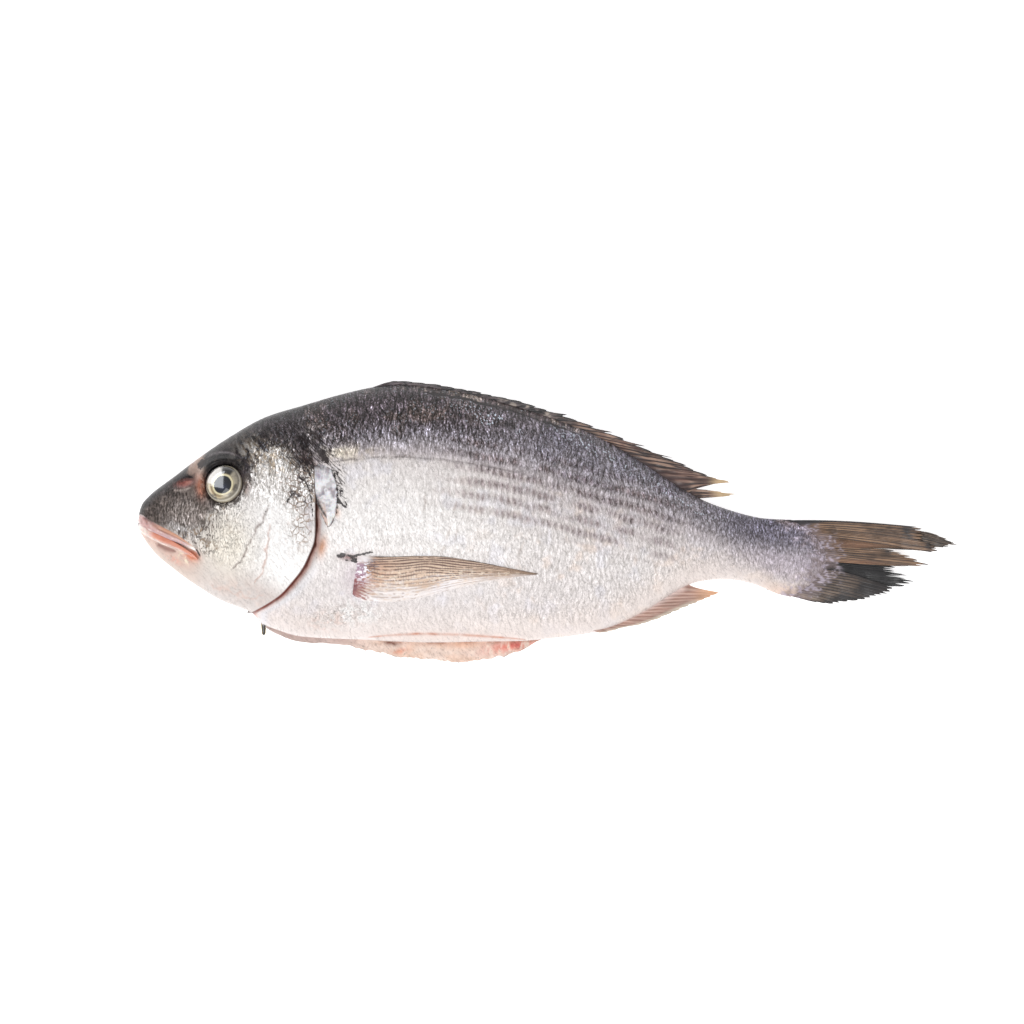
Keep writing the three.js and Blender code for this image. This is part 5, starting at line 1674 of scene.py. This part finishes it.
@dataclass
class ShoulderTongue:
    """The loose tongue of clear grey skin at the shoulder, on each side."""

    body: Body
    top: float = 20.6
    tip: float = -2.2
    thickness: float = 0.35
    front: Points = ((0, -84.2), (0.05, -86), (0.14, -86.7), (0.3, -86), (0.5, -84.9), (0.8, -82.6), (1, -80.6))
    rear: Points = ((0, -82.2), (0.05, -80), (0.12, -78.6), (0.3, -77.2), (0.5, -76.8), (0.75, -77.2),
                    (0.92, -78.4), (1, -79.6))
    rows: int = 90
    columns: int = 40

    def build(self, bench: Workbench, material: Material) -> None:
        """Builds both tongues: a crowned sheet laid on the skin, its lower edge free and its top grown in."""
        t = np.linspace(0, 1, self.rows)[:, None]
        w = np.linspace(0, 1, self.columns)[None, :]
        y = mix(self.top, self.tip, t) + 0 * w
        x = mix(Profile(self.front)(t), Profile(self.rear)(t), w) + 0.3 * noise(y, 9.0 * w, 2.0, 131)
        crown = (0.75 + 0.75 * np.sin(math.pi * w) ** 0.7 + 0.18 * noise(x, y, 2.2, 133)) * ease(t, -0.02, 0.22)
        edge = np.minimum(w, 1 - w) + 0 * t
        rim = np.minimum(edge * (Profile(self.rear)(t) - Profile(self.front)(t)),
                         (1 - t) * (self.top - self.tip))
        cells = noise(x, y, 1.9, 135, stretch=1.2)
        net = np.exp(-((noise(x, y, 2.6, 136, 2) / 0.14) ** 2))
        p = Paint((200, 196, 200), x, y)
        p.lay((240, 236, 238), 0.85 * ease(cells, 0.05, 0.5))
        p.lay((146, 138, 146), 0.8 * ease(-cells, 0.25, 0.7))
        p.lay((246, 244, 248), 0.75 * net)
        p.dab((170, 156, 176), 0.6, (-83.8, 16.4), (1.3, 1.7))
        p.lay((236, 230, 226), 0.7 * ease(t, 0.72, 0.95) + 0 * w)
        p.lay((206, 176, 162), 0.75 * ease(t, 0.5, 0.75) * fall(w, 0.25, 0.5))
        p.lay((66, 56, 58), 0.85 * fall(rim, 0.1, 0.5) * ease(noise(x, y, 1.5, 139, 2), -0.7, 0.1))
        p.lay((34, 28, 30), 0.95 * stroke(x, y, ((-85.9, 12.4), (-84.4, 7.8), (-82.6, 4.4), (-80.6, 1.2)),
                                          0.62))
        p.lay(INK, 0.9 * ease(y, 18.0, 20.4) * ease(noise(x, y, 1.6, 141, 2), -0.2, 0.4))
        for side in (LEFT, RIGHT):
            inner = np.maximum(0.2, self.body.skin_z(x, y, side, crown - self.thickness))
            sheet = leaf(x, y, self.body.skin_z(x, y, side, crown), inner, p.colour)
            bench.build(sided("shoulder_tongue", side), sheet, material, "flesh")


@dataclass
class GirdleTip:
    """The bony tip of the shoulder girdle that shows where the cut begins: dark, with a yellowish side."""

    place: tuple[float, float, float] = (-104.1, -39.2, 14.2)
    length: float = 5.2
    radius: float = 0.95

    def build(self, bench: Workbench, material: Material) -> None:
        """Builds the tip: a cone of radius r (1 - 0.3 t) along its length, its end rounded off."""
        t = np.linspace(0, 1, 24)[:, None]
        turn = circle(20)
        r = self.radius * (1 - 0.3 * t) * np.sqrt(np.clip(1 - ((t - 0.86) / 0.16).clip(0, 0.98) ** 2, 0.02, 1))
        x = self.place[0] + r * np.cos(turn) * (1 + 0.35 * (1 - t))
        z = self.place[2] + r * np.sin(turn) - 1.2 * t
        y = self.place[1] + self.length * (0.5 - t) + 0 * turn
        p = Paint((40, 34, 28), x, y)
        p.lay((214, 196, 140), ease(np.abs(np.cos(turn)) + 0 * t, 0.55, 0.95))
        bench.build("girdle_tip", lofted(np.stack([x, y, z], -1), tint=p.colour / LIGHT_LEVEL), material,
                    "flesh")


# ---------- fins ----------


@dataclass(frozen=True)
class FinFilm:
    """Fin rays and the film between them: the painted tint, slightly glossy."""

    roughness: float = 0.38
    coat: float = 0.25

    def material(self) -> Material:
        """Builds the finish."""
        g = Graph("fin_film")
        grain = g.speckle(g.place(), 1300.0, 3.0)
        g.set(Base_Color=g.brighten(g.attribute("tint"), (grain - 0.5) * 0.3 + 1.0),
              Roughness=grain * 0.2 + self.roughness - 0.1)
        g.set(Coat_Weight=self.coat, Coat_Roughness=0.2)
        g.bump(grain, 0.0001)
        return g.material


class FinColour(Enum):
    """The colourings of the fins."""

    TAIL = "tail"
    TAIL_TIP = "tail tip"
    TAIL_DARK = "tail dark"
    TAIL_LOW = "tail low"
    DORSAL = "dorsal"
    ANAL = "anal"


@dataclass
class Fan:
    """One fan of fin rays between a base line and a ragged line of tips."""

    name: str
    base: Points
    tips: Points
    rays: int
    colour: FinColour
    lift: float
    seed: int
    per_ray: int = 8
    rows: int = 56
    bow: float = 0.0
    cut: float = 0.07
    uneven: float = 0.03
    ray_half: float = 0.34
    film_half: float = 0.12
    wave: float = 0.35
    spikes: tuple[int, ...] = ()

    def build(self, bench: Workbench, body: Body, material: Material) -> None:
        """Builds the fan.

        A column goes from base(v) to tip(v); a ray's ridge is sin^2(pi v rays), and between the rays the film
        ends short of the tips by a share that differs from ray to ray.
        """
        columns = self.rays * self.per_ray + 1
        v = np.linspace(0, 1, columns)
        u = np.linspace(0, 1, self.rows)
        at = v * self.rays
        number = np.minimum(at.astype(int), self.rays - 1)
        ridge = np.sin(math.pi * at) ** 2
        chance = np.random.default_rng(self.seed).uniform(0, 1, (3, self.rays))
        twig = np.sin(2 * math.pi * at) ** 2
        reach = 1 - self.cut * (1 - ridge) * (0.5 + chance[0][number]) - self.uneven * chance[1][number]
        reach = reach - 0.35 * self.cut * (1 - twig) * chance[2][number]
        reach = reach + 0.16 * np.isin(number, self.spikes) * ridge**3
        base, tip = along_line(self.base, v, smooth=True), along_line(self.tips, v, smooth=False)
        share = (u[None, :] * reach[:, None])[..., None]
        xy = base[:, None] + (tip - base)[:, None] * share
        arch = self.bow * np.sin(math.pi * u)[None, :] * (1 - v)[:, None]
        x, y = xy[..., 0], xy[..., 1] + arch
        length = np.linalg.norm(tip - base, axis=1)[:, None] * u[None, :]
        fine = mix(ridge[:, None], 0.5 * ridge[:, None] + 0.5 * twig[:, None], ease(u, 0.35, 0.7)[None, :])
        joints = 0.5 + 0.5 * np.cos(2 * math.pi * length / 0.95)
        half = mix(self.film_half, self.ray_half * (0.85 + 0.15 * joints), fine) * mix(1.0, 0.5, u)[None, :]
        middle = body.middle_z(x) + self.lift + self.wave * np.sin(7 * v + self.seed)[:, None] * u[None, :]
        middle = middle + 0.18 * noise(x, y, 5.0, self.seed, 2)
        colour = self._paint(u[None, :] + 0 * x, v[:, None] + 0 * x, fine, joints, x, y)
        bench.build(self.name, leaf(x, y, middle + half, middle - half, colour), material, "fin")

    def _paint(self, u: Array, v: Array, ridge: Array, joints: Array, x: Array, y: Array) -> Array:
        """The fan's colours: pale on the rays, darker between them, crossed by the rays' joints."""
        mottled = noise(x, y, 4.0, self.seed + 3)
        fine = noise(v * self.rays * 3, u * 30, 2.0, self.seed + 7, 2, stretch=3.0)
        if self.colour is FinColour.DORSAL:
            p = Paint((42, 27, 26), x, y).lay((166, 136, 120), 0.92 * ease(ridge + 0.3 * fine, 0.3, 0.85))
            p.lay((88, 56, 50), 0.55 * ease(mottled, -0.2, 0.6))
            p.lay((60, 42, 44), 0.92 * fall(u + 0.08 * mottled, 0.16, 0.42))
            ragged = noise(x, y, 2.4, self.seed + 11, stretch=0.5)
            front = fall(x, -2, 16)
            p.lay((84, 76, 80), 0.85 * front)
            p.lay((122, 112, 118), 0.7 * front * ease(ragged, 0.0, 0.5) * fall(u, 0.5, 0.8))
            p.lay((190, 176, 162), 0.85 * ease(ragged + 0.4 * mottled, 0.3, 0.6)
                  * blob(x, y, (-4, 41), (16, 6), -14))
            p.lay((24, 21, 23), 0.92 * ease(-ragged + 0.5 * u, 0.35, 0.7) * front)
            p.lay((34, 30, 31), 0.8 * front * ease(u, 0.75, 0.95))
            edge = ease(u, 0.84, 0.95) * fall(x, 58.0, 63.0)
            p.lay((34, 29, 29), 0.9 * edge)
            p.lay((206, 178, 140), 0.9 * ease(x, 57.5, 63.5) * ease(u, 0.4, 0.8))
        elif self.colour is FinColour.ANAL:
            p = Paint((160, 122, 110), x, y).lay((202, 170, 156), 0.85 * ease(ridge, 0.3, 0.9))
            p.lay((222, 200, 194), 0.9 * fall(u, 0.1, 0.42))
            p.lay((206, 194, 178), 0.9 * ease(u, 0.74, 0.93) * fall(v, 0.62, 0.8))
            p.lay((220, 168, 130), 0.85 * ease(x, 51, 60))
        else:
            dark, pale = TAIL_TINTS[self.colour]
            p = Paint(dark, x, y).lay(pale, 0.9 * ease(ridge + 0.25 * fine, 0.3, 0.95))
            p.lay(pale * 1.3, 0.3 * joints * ridge)
            p.lay(dark * 0.6, 0.5 * ease(mottled, 0.1, 0.8))
            if self.colour is FinColour.TAIL:
                p.lay((154, 108, 84), 0.35 * ease(v, 0.55, 0.75) * ease(u, 0.2, 0.5) * fall(u, 0.6, 0.8))
                p.lay((44, 41, 43), 0.9 * ease(u + 0.1 * mottled, 0.88, 1.0))
            if self.colour is FinColour.TAIL_LOW:
                p.lay((30, 27, 30), 0.9 * ease(u + 0.12 * mottled + 0.25 * (1 - v), 0.72, 0.98))
                p.lay((210, 186, 168), 0.85 * ease(v, 0.66, 0.92) * fall(u, 0.5, 0.85))
            if self.colour is FinColour.TAIL_DARK:
                p.lay((84, 78, 74), 0.8 * fall(u, 0.1, 0.42) * ease(ridge, 0.2, 0.9))
            self._root(p, x, y)
            if self.name == "tail_upper":
                p.lay((42, 39, 43), 0.95 * fall(v, mix(0.16, 0.03, ease(u, 0.1, 0.45)),
                                                mix(0.3, 0.09, ease(u, 0.1, 0.45))))
        return p.shade(1 + 0.16 * fine + 0.06 * mottled).colour

    def _root(self, p: Paint, x: Array, y: Array) -> None:
        """The root of a tail fan: the last scales of the skin lie over it in torn patches."""
        bend = 13.0 * (1 - np.minimum(1.0, np.abs(y + 14.0) / 16.0) ** 2)
        ahead = x - 89.0 - bend + 3.5 * noise(x, y, 3.0, 65)
        p.lay(TAIL_ROOT, 0.85 * fall(ahead, -1.0, 6.5))
        p.lay(LILAC, 0.85 * fall(ahead, 1.0, 8.5) * ease(noise(x, y, 0.9, 67, 2), 0.2, 0.5))


TAIL_TINTS = {
    FinColour.TAIL: (rgb(66, 50, 41), rgb(156, 124, 99)),
    FinColour.TAIL_TIP: (rgb(34, 29, 28), rgb(116, 98, 84)),
    FinColour.TAIL_DARK: (rgb(8, 7, 10), rgb(26, 23, 27)),
    FinColour.TAIL_LOW: (rgb(50, 41, 37), rgb(120, 102, 90)),
}


def along_line(points: Points, v: Array, smooth: bool) -> Array:
    """Points along a line at the shares v of its corners' number: straight, or as Profile curves."""
    at = np.linspace(0, 1, len(points))
    xs, ys = np.array([p[0] for p in points]), np.array([p[1] for p in points])
    if smooth:
        return np.stack([Profile(list(zip(at, xs)))(v), Profile(list(zip(at, ys)))(v)], -1)
    return np.stack([np.interp(v, at, xs), np.interp(v, at, ys)], -1)


@dataclass
class Fins:
    """The folded dorsal fin, the anal fin and the ragged, half closed tail."""

    body: Body
    dorsal_edge: Points = (
        (-62, 49.6), (-58.9, 50.8), (-54.5, 51.4), (-45.8, 50.7), (-37, 49.5), (-28.2, 47.9), (-19.4, 46),
        (-10.6, 44), (-1.8, 41.4), (7, 38.4), (15.7, 35.2), (24.5, 31.6), (33.3, 27.6), (42.1, 23.9),
        (50.9, 20.5), (59.7, 16.5), (69.2, 14.2),
    )
    dorsal_sweep: Points = ((-64, 4), (-50, 9), (-30, 13), (-10, 18), (5, 23), (20, 25.5), (32, 25),
                            (44.4, 24.6))
    anal_edge: Points = ((18, -41.2), (22.7, -40.6), (28.2, -39), (36.2, -37.4), (41.7, -35.3), (48.3, -32.6),
                         (55.6, -29.4), (64.2, -26.3))
    anal_sweep: Points = ((14, 5), (22, 11), (32, 17.5), (44, 20.2))

    def build(self, bench: Workbench, material: Material) -> None:
        """Builds every fan."""
        for fan in (*self._dorsal(), self._anal(), *self._tail()):
            fan.build(bench, self.body, material)

    def _dorsal(self) -> list[Fan]:
        """The dorsal fin, folded back with long rays nearly in line with its edge, and its free last ray."""
        body = self.body
        x = np.linspace(-64.0, 44.4, 44)
        tip_x = x + Profile(self.dorsal_sweep)(x)
        tips = list(zip(tip_x, Profile(self.dorsal_edge)(tip_x))) + [(63, 14), (57, 12.6), (53.6, 12)]
        base_x = np.concatenate([x, [46.4, 48.4, 50.4]])
        base_y = body.back_y(base_x) - 2.2 * ease(base_x, -64, -40)
        return [
            Fan("dorsal_fin", list(zip(base_x, base_y)), tips, 28, FinColour.DORSAL, 0.5, 151, per_ray=12,
                rows=80, cut=0.06,
                uneven=0.07, ray_half=0.5, film_half=0.18, wave=0.15, spikes=(12, 15, 17, 19)),
            Fan("dorsal_last_ray", ((46.5, 12.4), (49.5, 9.6), (51.5, 8)),
                ((60.5, 11.2), (70, 9.9), (66.5, 9.1)), 3,
                FinColour.DORSAL, 0.3, 153, cut=0.1, uneven=0.04, ray_half=0.42, film_half=0.16, wave=0.1),
        ]

    def _anal(self) -> Fan:
        """The anal fin, folded back along the belly."""
        x = np.linspace(14.0, 44.0, 22)
        tip_x = x + Profile(self.anal_sweep)(x)
        tips = list(zip(tip_x, Profile(self.anal_edge)(tip_x))) + [(60, -25.6), (56, -24.9), (52.4, -24.3)]
        base_x = np.concatenate([x, [46.4, 48.6, 50.6]])
        return Fan("anal_fin", list(zip(base_x, self.body.belly_y(base_x) + 2.0)), tips, 15, FinColour.ANAL,
                   -0.6, 157,
                   per_ray=10, rows=64, cut=0.04, uneven=0.05, ray_half=0.42, film_half=0.16, wave=0.15)

    def _tail(self) -> list[Fan]:
        """The tail: upper lobe with its folded tip, middle bundle, dark folded web and lower lobe."""
        return [
            Fan("tail_upper", ((80, 0.2), (86, -2.2), (92, -5.2), (96, -9.4)),
                ((136.4, -1.9), (138.2, -3), (138.6, -5.2), (138.8, -7.2), (141.4, -8.6), (143.8, -9.6),
                 (145.6, -12.2), (139.8, -11.2), (134.4, -10.8), (129.4, -10.5), (125.8, -10.2)),
                17, FinColour.TAIL, 0.5, 163, per_ray=10, rows=72, bow=0.9, cut=0.045),
            Fan("tail_tip", ((131, -2.6), (133, -5), (134, -9.6)),
                ((141, -4.4), (145.5, -6), (149.4, -7.9), (151.2, -8.9), (150.8, -9.1), (147, -9.2),
                 (148.4, -9.8), (144, -9.8), (142, -10.4)),
                9, FinColour.TAIL_TIP, 0.1, 167, cut=0.12),
            Fan("tail_middle", ((95, -8.8), (97, -11.5), (97, -14.6)),
                ((126.5, -10.4), (131, -11.8), (135.4, -13.5), (140.6, -16.1), (137.8, -17), (134.2, -16.7),
                 (131, -16.8)),
                9, FinColour.TAIL, 0.3, 173, per_ray=10, cut=0.08),
            Fan("tail_web", ((97, -12), (98, -16), (95, -20.4)),
                ((128.6, -14.8), (131, -16.4), (127.7, -17.4), (127, -18.8), (132.8, -19.8), (130.4, -20.6),
                 (136.4, -22.6), (130, -24.5)),
                14, FinColour.TAIL_DARK, -0.3, 179, cut=0.1),
            Fan("tail_lower", ((96, -17.6), (92, -21), (86, -24.2), (80, -25.2)),
                ((122, -22.6), (127, -24.4), (125.4, -26.7), (121, -27.4), (117, -28.9), (109.6, -29.8),
                 (103.9, -30.6), (97.5, -29.8)),
                15, FinColour.TAIL_LOW, 0.5, 181, per_ray=10, bow=1.3, cut=0.05),
        ]


@dataclass
class PectoralFins:
    """The long side fins, folded back flat on the flanks."""

    body: Body
    coat: Coat
    top: Points = ((-69.5, -12.6), (-57.5, -13), (-46.1, -12.7), (-36, -13.2), (-24, -15.2), (-13, -17.4),
                   (-3.8, -19.2))
    foot: Points = ((-71.5, -27.2), (-64.8, -29.2), (-53.4, -29.3), (-44, -27.4), (-30, -23.6), (-16, -20.9),
                    (-4.2, -19.6))
    rays: int = 15
    per_ray: int = 8
    columns: int = 290
    proud: float = 0.7
    ridge: float = 0.24
    rooted: float = 0.25

    def build(self, bench: Workbench, material: Material) -> None:
        """Builds both fins: a sheet on the skin, raised by sin^2 on each ray, that grows out of the flank."""
        u = np.linspace(0, 1, self.columns)
        v = np.linspace(0, 1, self.rays * self.per_ray + 1)[None, :]
        high, low = along_line(self.top, u, smooth=True), along_line(self.foot, u, smooth=True)
        crowd = v ** 1.12
        x = mix(high[:, :1], low[:, :1], crowd)
        y = mix(high[:, 1:], low[:, 1:], crowd)
        u = u[:, None] + 0 * v
        v = v + 0 * u
        at = v * self.rays + 0.6 * noise(u * 10, v * 9, 2.0, 195, 2)
        ridge = np.sin(math.pi * at) ** 2
        joints = 0.5 + 0.5 * np.cos(2 * math.pi * x / 0.95)
        rim = np.minimum(1.0, np.minimum(v, 1 - v) * 16)
        proud = ((self.proud * mix(1.0, 0.55, u) * (0.35 + 0.65 * rim) + self.ridge * ridge * mix(1.0, 0.5, u))
                 * ease(u, -0.01, 0.07))
        proud = proud + 0.04 * joints * ridge
        for side in (LEFT, RIGHT):
            colour = self._paint(u, v, ridge, joints, x, y, self.coat.trunk(x, y, side).tint)
            pressed = 0.12 * (1 - ridge) + 0.02 * joints
            outer = np.maximum(pressed, self.body.skin_z(x, y, side, proud))
            inner = np.maximum(0.3, self.body.skin_z(x, y, side, -self.rooted))
            bench.build(sided("pectoral_fin", side), leaf(x, y, outer, inner, colour), material, "fin")

    def _paint(self, u: Array, v: Array, ridge: Array, joints: Array, x: Array, y: Array, skin: Array) -> Array:
        """Tan rays, dark broken lines between them, red at the root, clearing to the skin's colour below."""
        streak = noise(u * 16, v * 60, 2.4, 191)
        dash = noise(x, v * 30, 1.6, 196)
        fleck = noise(x, y, 0.9, 194, 2, stretch=0.6)
        strong = fall(v, 0.5, 0.8)
        valley = fall(ridge, 0.08, 0.7)
        p = Paint((202, 172, 150), x, y)
        p.lay((226, 202, 178), 0.8 * ridge * (0.7 + 0.5 * streak))
        p.lay((186, 122, 84), 0.6 * fall(u, 0.08, 0.3) * ease(streak + 0.5 * v, -0.6, 0.5))
        p.dab((180, 128, 96), 0.55, (-42, -23), (8, 5), where=ease(fleck, -0.3, 0.5))
        band = spot(u, v, (0.45, 0.13), (0.42, 0.13))
        p.lay((132, 100, 80), 0.4 * band * ease(streak, -0.8, 0.5))
        lines = valley * ease(dash + 0.5 * streak, -1.2, -0.1) * (0.34 + 0.6 * strong)
        p.lay((84, 48, 32), np.clip(lines * (0.8 + 0.4 * ease(u, 0.35, 0.6) + 0.5 * band), 0, 0.97))
        p.lay((100, 74, 60), 0.5 * fall(joints, 0.0, 0.45) * ease(dash, -0.3, 0.4) * (0.2 + 0.8 * strong))
        p.lay((244, 230, 210), 0.55 * ease(fleck, 0.4, 0.75) * ease(v, 0.25, 0.5))
        p.lay((64, 48, 44), 0.9 * fall(v, 0.0, 0.035))
        fade = ease(v + 0.2 * streak + 0.15 * dash, 0.52, 0.95)
        keep = np.clip(0.97 - 0.93 * fade, 0.02, 1) * (1 - fall(u, 0.04, 0.1) * fall(v, 0.1, 0.3))
        p.colour = mix(skin, p.colour, keep[..., None])
        p.lay((150, 122, 106), 0.6 * valley * fade * ease(dash, 0.0, 0.5) * ease(u, 0.08, 0.2))
        edge = u + 0.02 * noise(x, y, 2.0, 193)
        strip = fall(edge, 0.05, 0.09) * ease(v, 0.14, 0.28)
        p.lay((156, 126, 148), 0.9 * strip * fall(v, 0.66, 0.84))
        p.lay((76, 54, 62), 0.85 * spot(u, v, (0.085, 0.26), (0.03, 0.15)) * ease(fleck, -0.8, 0.1))
        depth = (0.19 - edge) / 0.19
        rust = ease(depth + 0.35 * ridge + 0.2 * fleck, 0.35, 0.9) * ease(v, 0.42, 0.7)
        p.lay((140, 72, 60), 0.88 * rust)
        p.lay((112, 54, 66), 0.7 * fall(edge, 0.01, 0.05) * ease(v, 0.6, 0.8))
        sparkle = spot(u, v, (0.045, 0.4), (0.05, 0.26)) * ease(fleck, 0.0, 0.25)
        p.lay((244, 240, 248), 0.95 * sparkle)
        return p.shade(1 + 0.10 * streak).colour


# ---------- studio ----------


@dataclass
class Studio:
    """A pale floor, soft light from all round, a window for the wet glints, and a camera straight above."""

    centre: tuple[float, float] = (-0.0132, 0.0033)
    width: float = 0.3748
    level: float = 0.015
    lens: float = 400.0
    sensor: float = 36.0
    room: float = 0.74
    floor_glow: float = 0.6
    window_glow: float = 9.5
    window: tuple[tuple[float, float, float], ...] = (
        (-0.53, 0.04, 0.90), (-0.47, 1.35, 0.20), (-1.75, 1.35, 0.02), (-1.85, 0.25, 0.02),
    )

    def build(self, shift: Array, eyes: Sequence[Object]) -> None:
        """Builds floor, lights and camera; the window shines on the eyes alone."""
        self._floor()
        self._lights(eyes)
        camera = bpy.data.cameras.new("camera")
        camera.lens, camera.sensor_width, camera.clip_end = self.lens, self.sensor, 30
        stand = bpy.data.objects.new("camera", camera)
        away = self.width * self.lens / self.sensor
        stand.location = (self.centre[0] + shift[0] * MM, self.centre[1] + shift[1] * MM, self.level + away)
        bpy.context.scene.collection.objects.link(stand)
        bpy.context.scene.camera = stand

    def _board(self, name: str, corners: Points, material: Material) -> Object:
        """A flat sheet of four corners that belongs to the studio."""
        mesh = bpy.data.meshes.new(name)
        mesh.from_pydata(corners, [], [(0, 1, 2, 3)])
        mesh.materials.append(material)
        board = bpy.data.objects.new(name, mesh)
        bpy.context.scene.collection.objects.link(board)
        board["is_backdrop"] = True
        return board

    def _floor(self) -> None:
        """The floor: a wide white sheet."""
        reach, depth = 6, -0.0004
        g = Graph("white_floor")
        g.set(Base_Color=(1, 1, 1, 1), Roughness=0.9, Specular_IOR_Level=0.0)
        g.set(Emission_Color=(1, 0.995, 1, 1), Emission_Strength=self.floor_glow)
        self._board("floor", [(-reach, -reach, depth), (reach, -reach, depth), (reach, reach, depth),
                              (-reach, reach, depth)], g.material)

    def _lights(self, eyes: Sequence[Object]) -> None:
        """White light from all round, a panel that gives the form its shade, a window that the eyes mirror."""
        world = bpy.data.worlds.new("white_room")
        world.use_nodes = True
        world.node_tree.nodes["Background"].inputs["Color"].default_value = (1, 1, 1, 1)
        world.node_tree.nodes["Background"].inputs["Strength"].default_value = self.room
        bpy.context.scene.world = world
        self._panel("top_panel", (-0.3, -0.5, 1.15), 0.9, 9.5)
        g = Graph("window_glow")
        g.set(Base_Color=(0, 0, 0, 1), Specular_IOR_Level=0.0)
        g.set(Emission_Color=(0.93, 0.96, 1, 1), Emission_Strength=self.window_glow)
        window = self._board("window", list(self.window), g.material)
        window.visible_camera = window.visible_diffuse = window.visible_shadow = False
        mirrors = bpy.data.collections.new("mirrors")
        for eye in eyes:
            mirrors.objects.link(eye)
        window.light_linking.receiver_collection = mirrors
        view = bpy.context.scene.view_settings
        view.view_transform, view.look, view.exposure, view.gamma = "Standard", "None", 0, 1

    def _panel(self, name: str, place: tuple[float, float, float], size: float, power: float) -> None:
        """A square light panel that faces the fish."""
        light = bpy.data.lights.new(name, "AREA")
        light.shape, light.size, light.energy = "SQUARE", size, power
        panel = bpy.data.objects.new(name, light)
        panel.location = place
        away = -np.array(place) / np.linalg.norm(place)
        panel.rotation_euler = (math.acos(-away[2]), 0, math.atan2(-away[0], away[1]))
        bpy.context.scene.collection.objects.link(panel)


def main() -> None:
    """Builds the fish round its frame, then the studio, and measures both boxes."""
    logging.basicConfig(level=logging.INFO, format="%(message)s")
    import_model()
    frame_box = [list(corner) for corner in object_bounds()]
    body = Body()
    rows = ScaleRows()
    coat = Coat(body, rows)
    eyes = Eyes(body)
    low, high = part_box("eye_left")
    shift = (np.array(low) + np.array(high)) / (2 * MM) - eyes.middle(LEFT)
    log.info("step to the row frame: %s mm", np.round(shift, 3))
    bench = Workbench(shift)
    scaled, flesh, film = ScaledSkin().material(), WetFlesh().material(), FinFilm().material()
    Head(body, coat).build(bench, scaled)
    Trunk(body, coat).build(bench, scaled)
    Mouth(body).build(bench, flesh)
    ShoulderTongue(body).build(bench, flesh)
    GirdleTip().build(bench, flesh)
    Fins(body).build(bench, film)
    PectoralFins(body, coat).build(bench, film)
    left, right = eyes.build(bench, EyeGlass().material())
    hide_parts("fish")
    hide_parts("eye_left")
    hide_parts("eye_right")
    Studio().build(shift, (left, right))
    {"frame": frame_box, "visual": [list(corner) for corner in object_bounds()]}


if __name__ == "__main__":
    main()
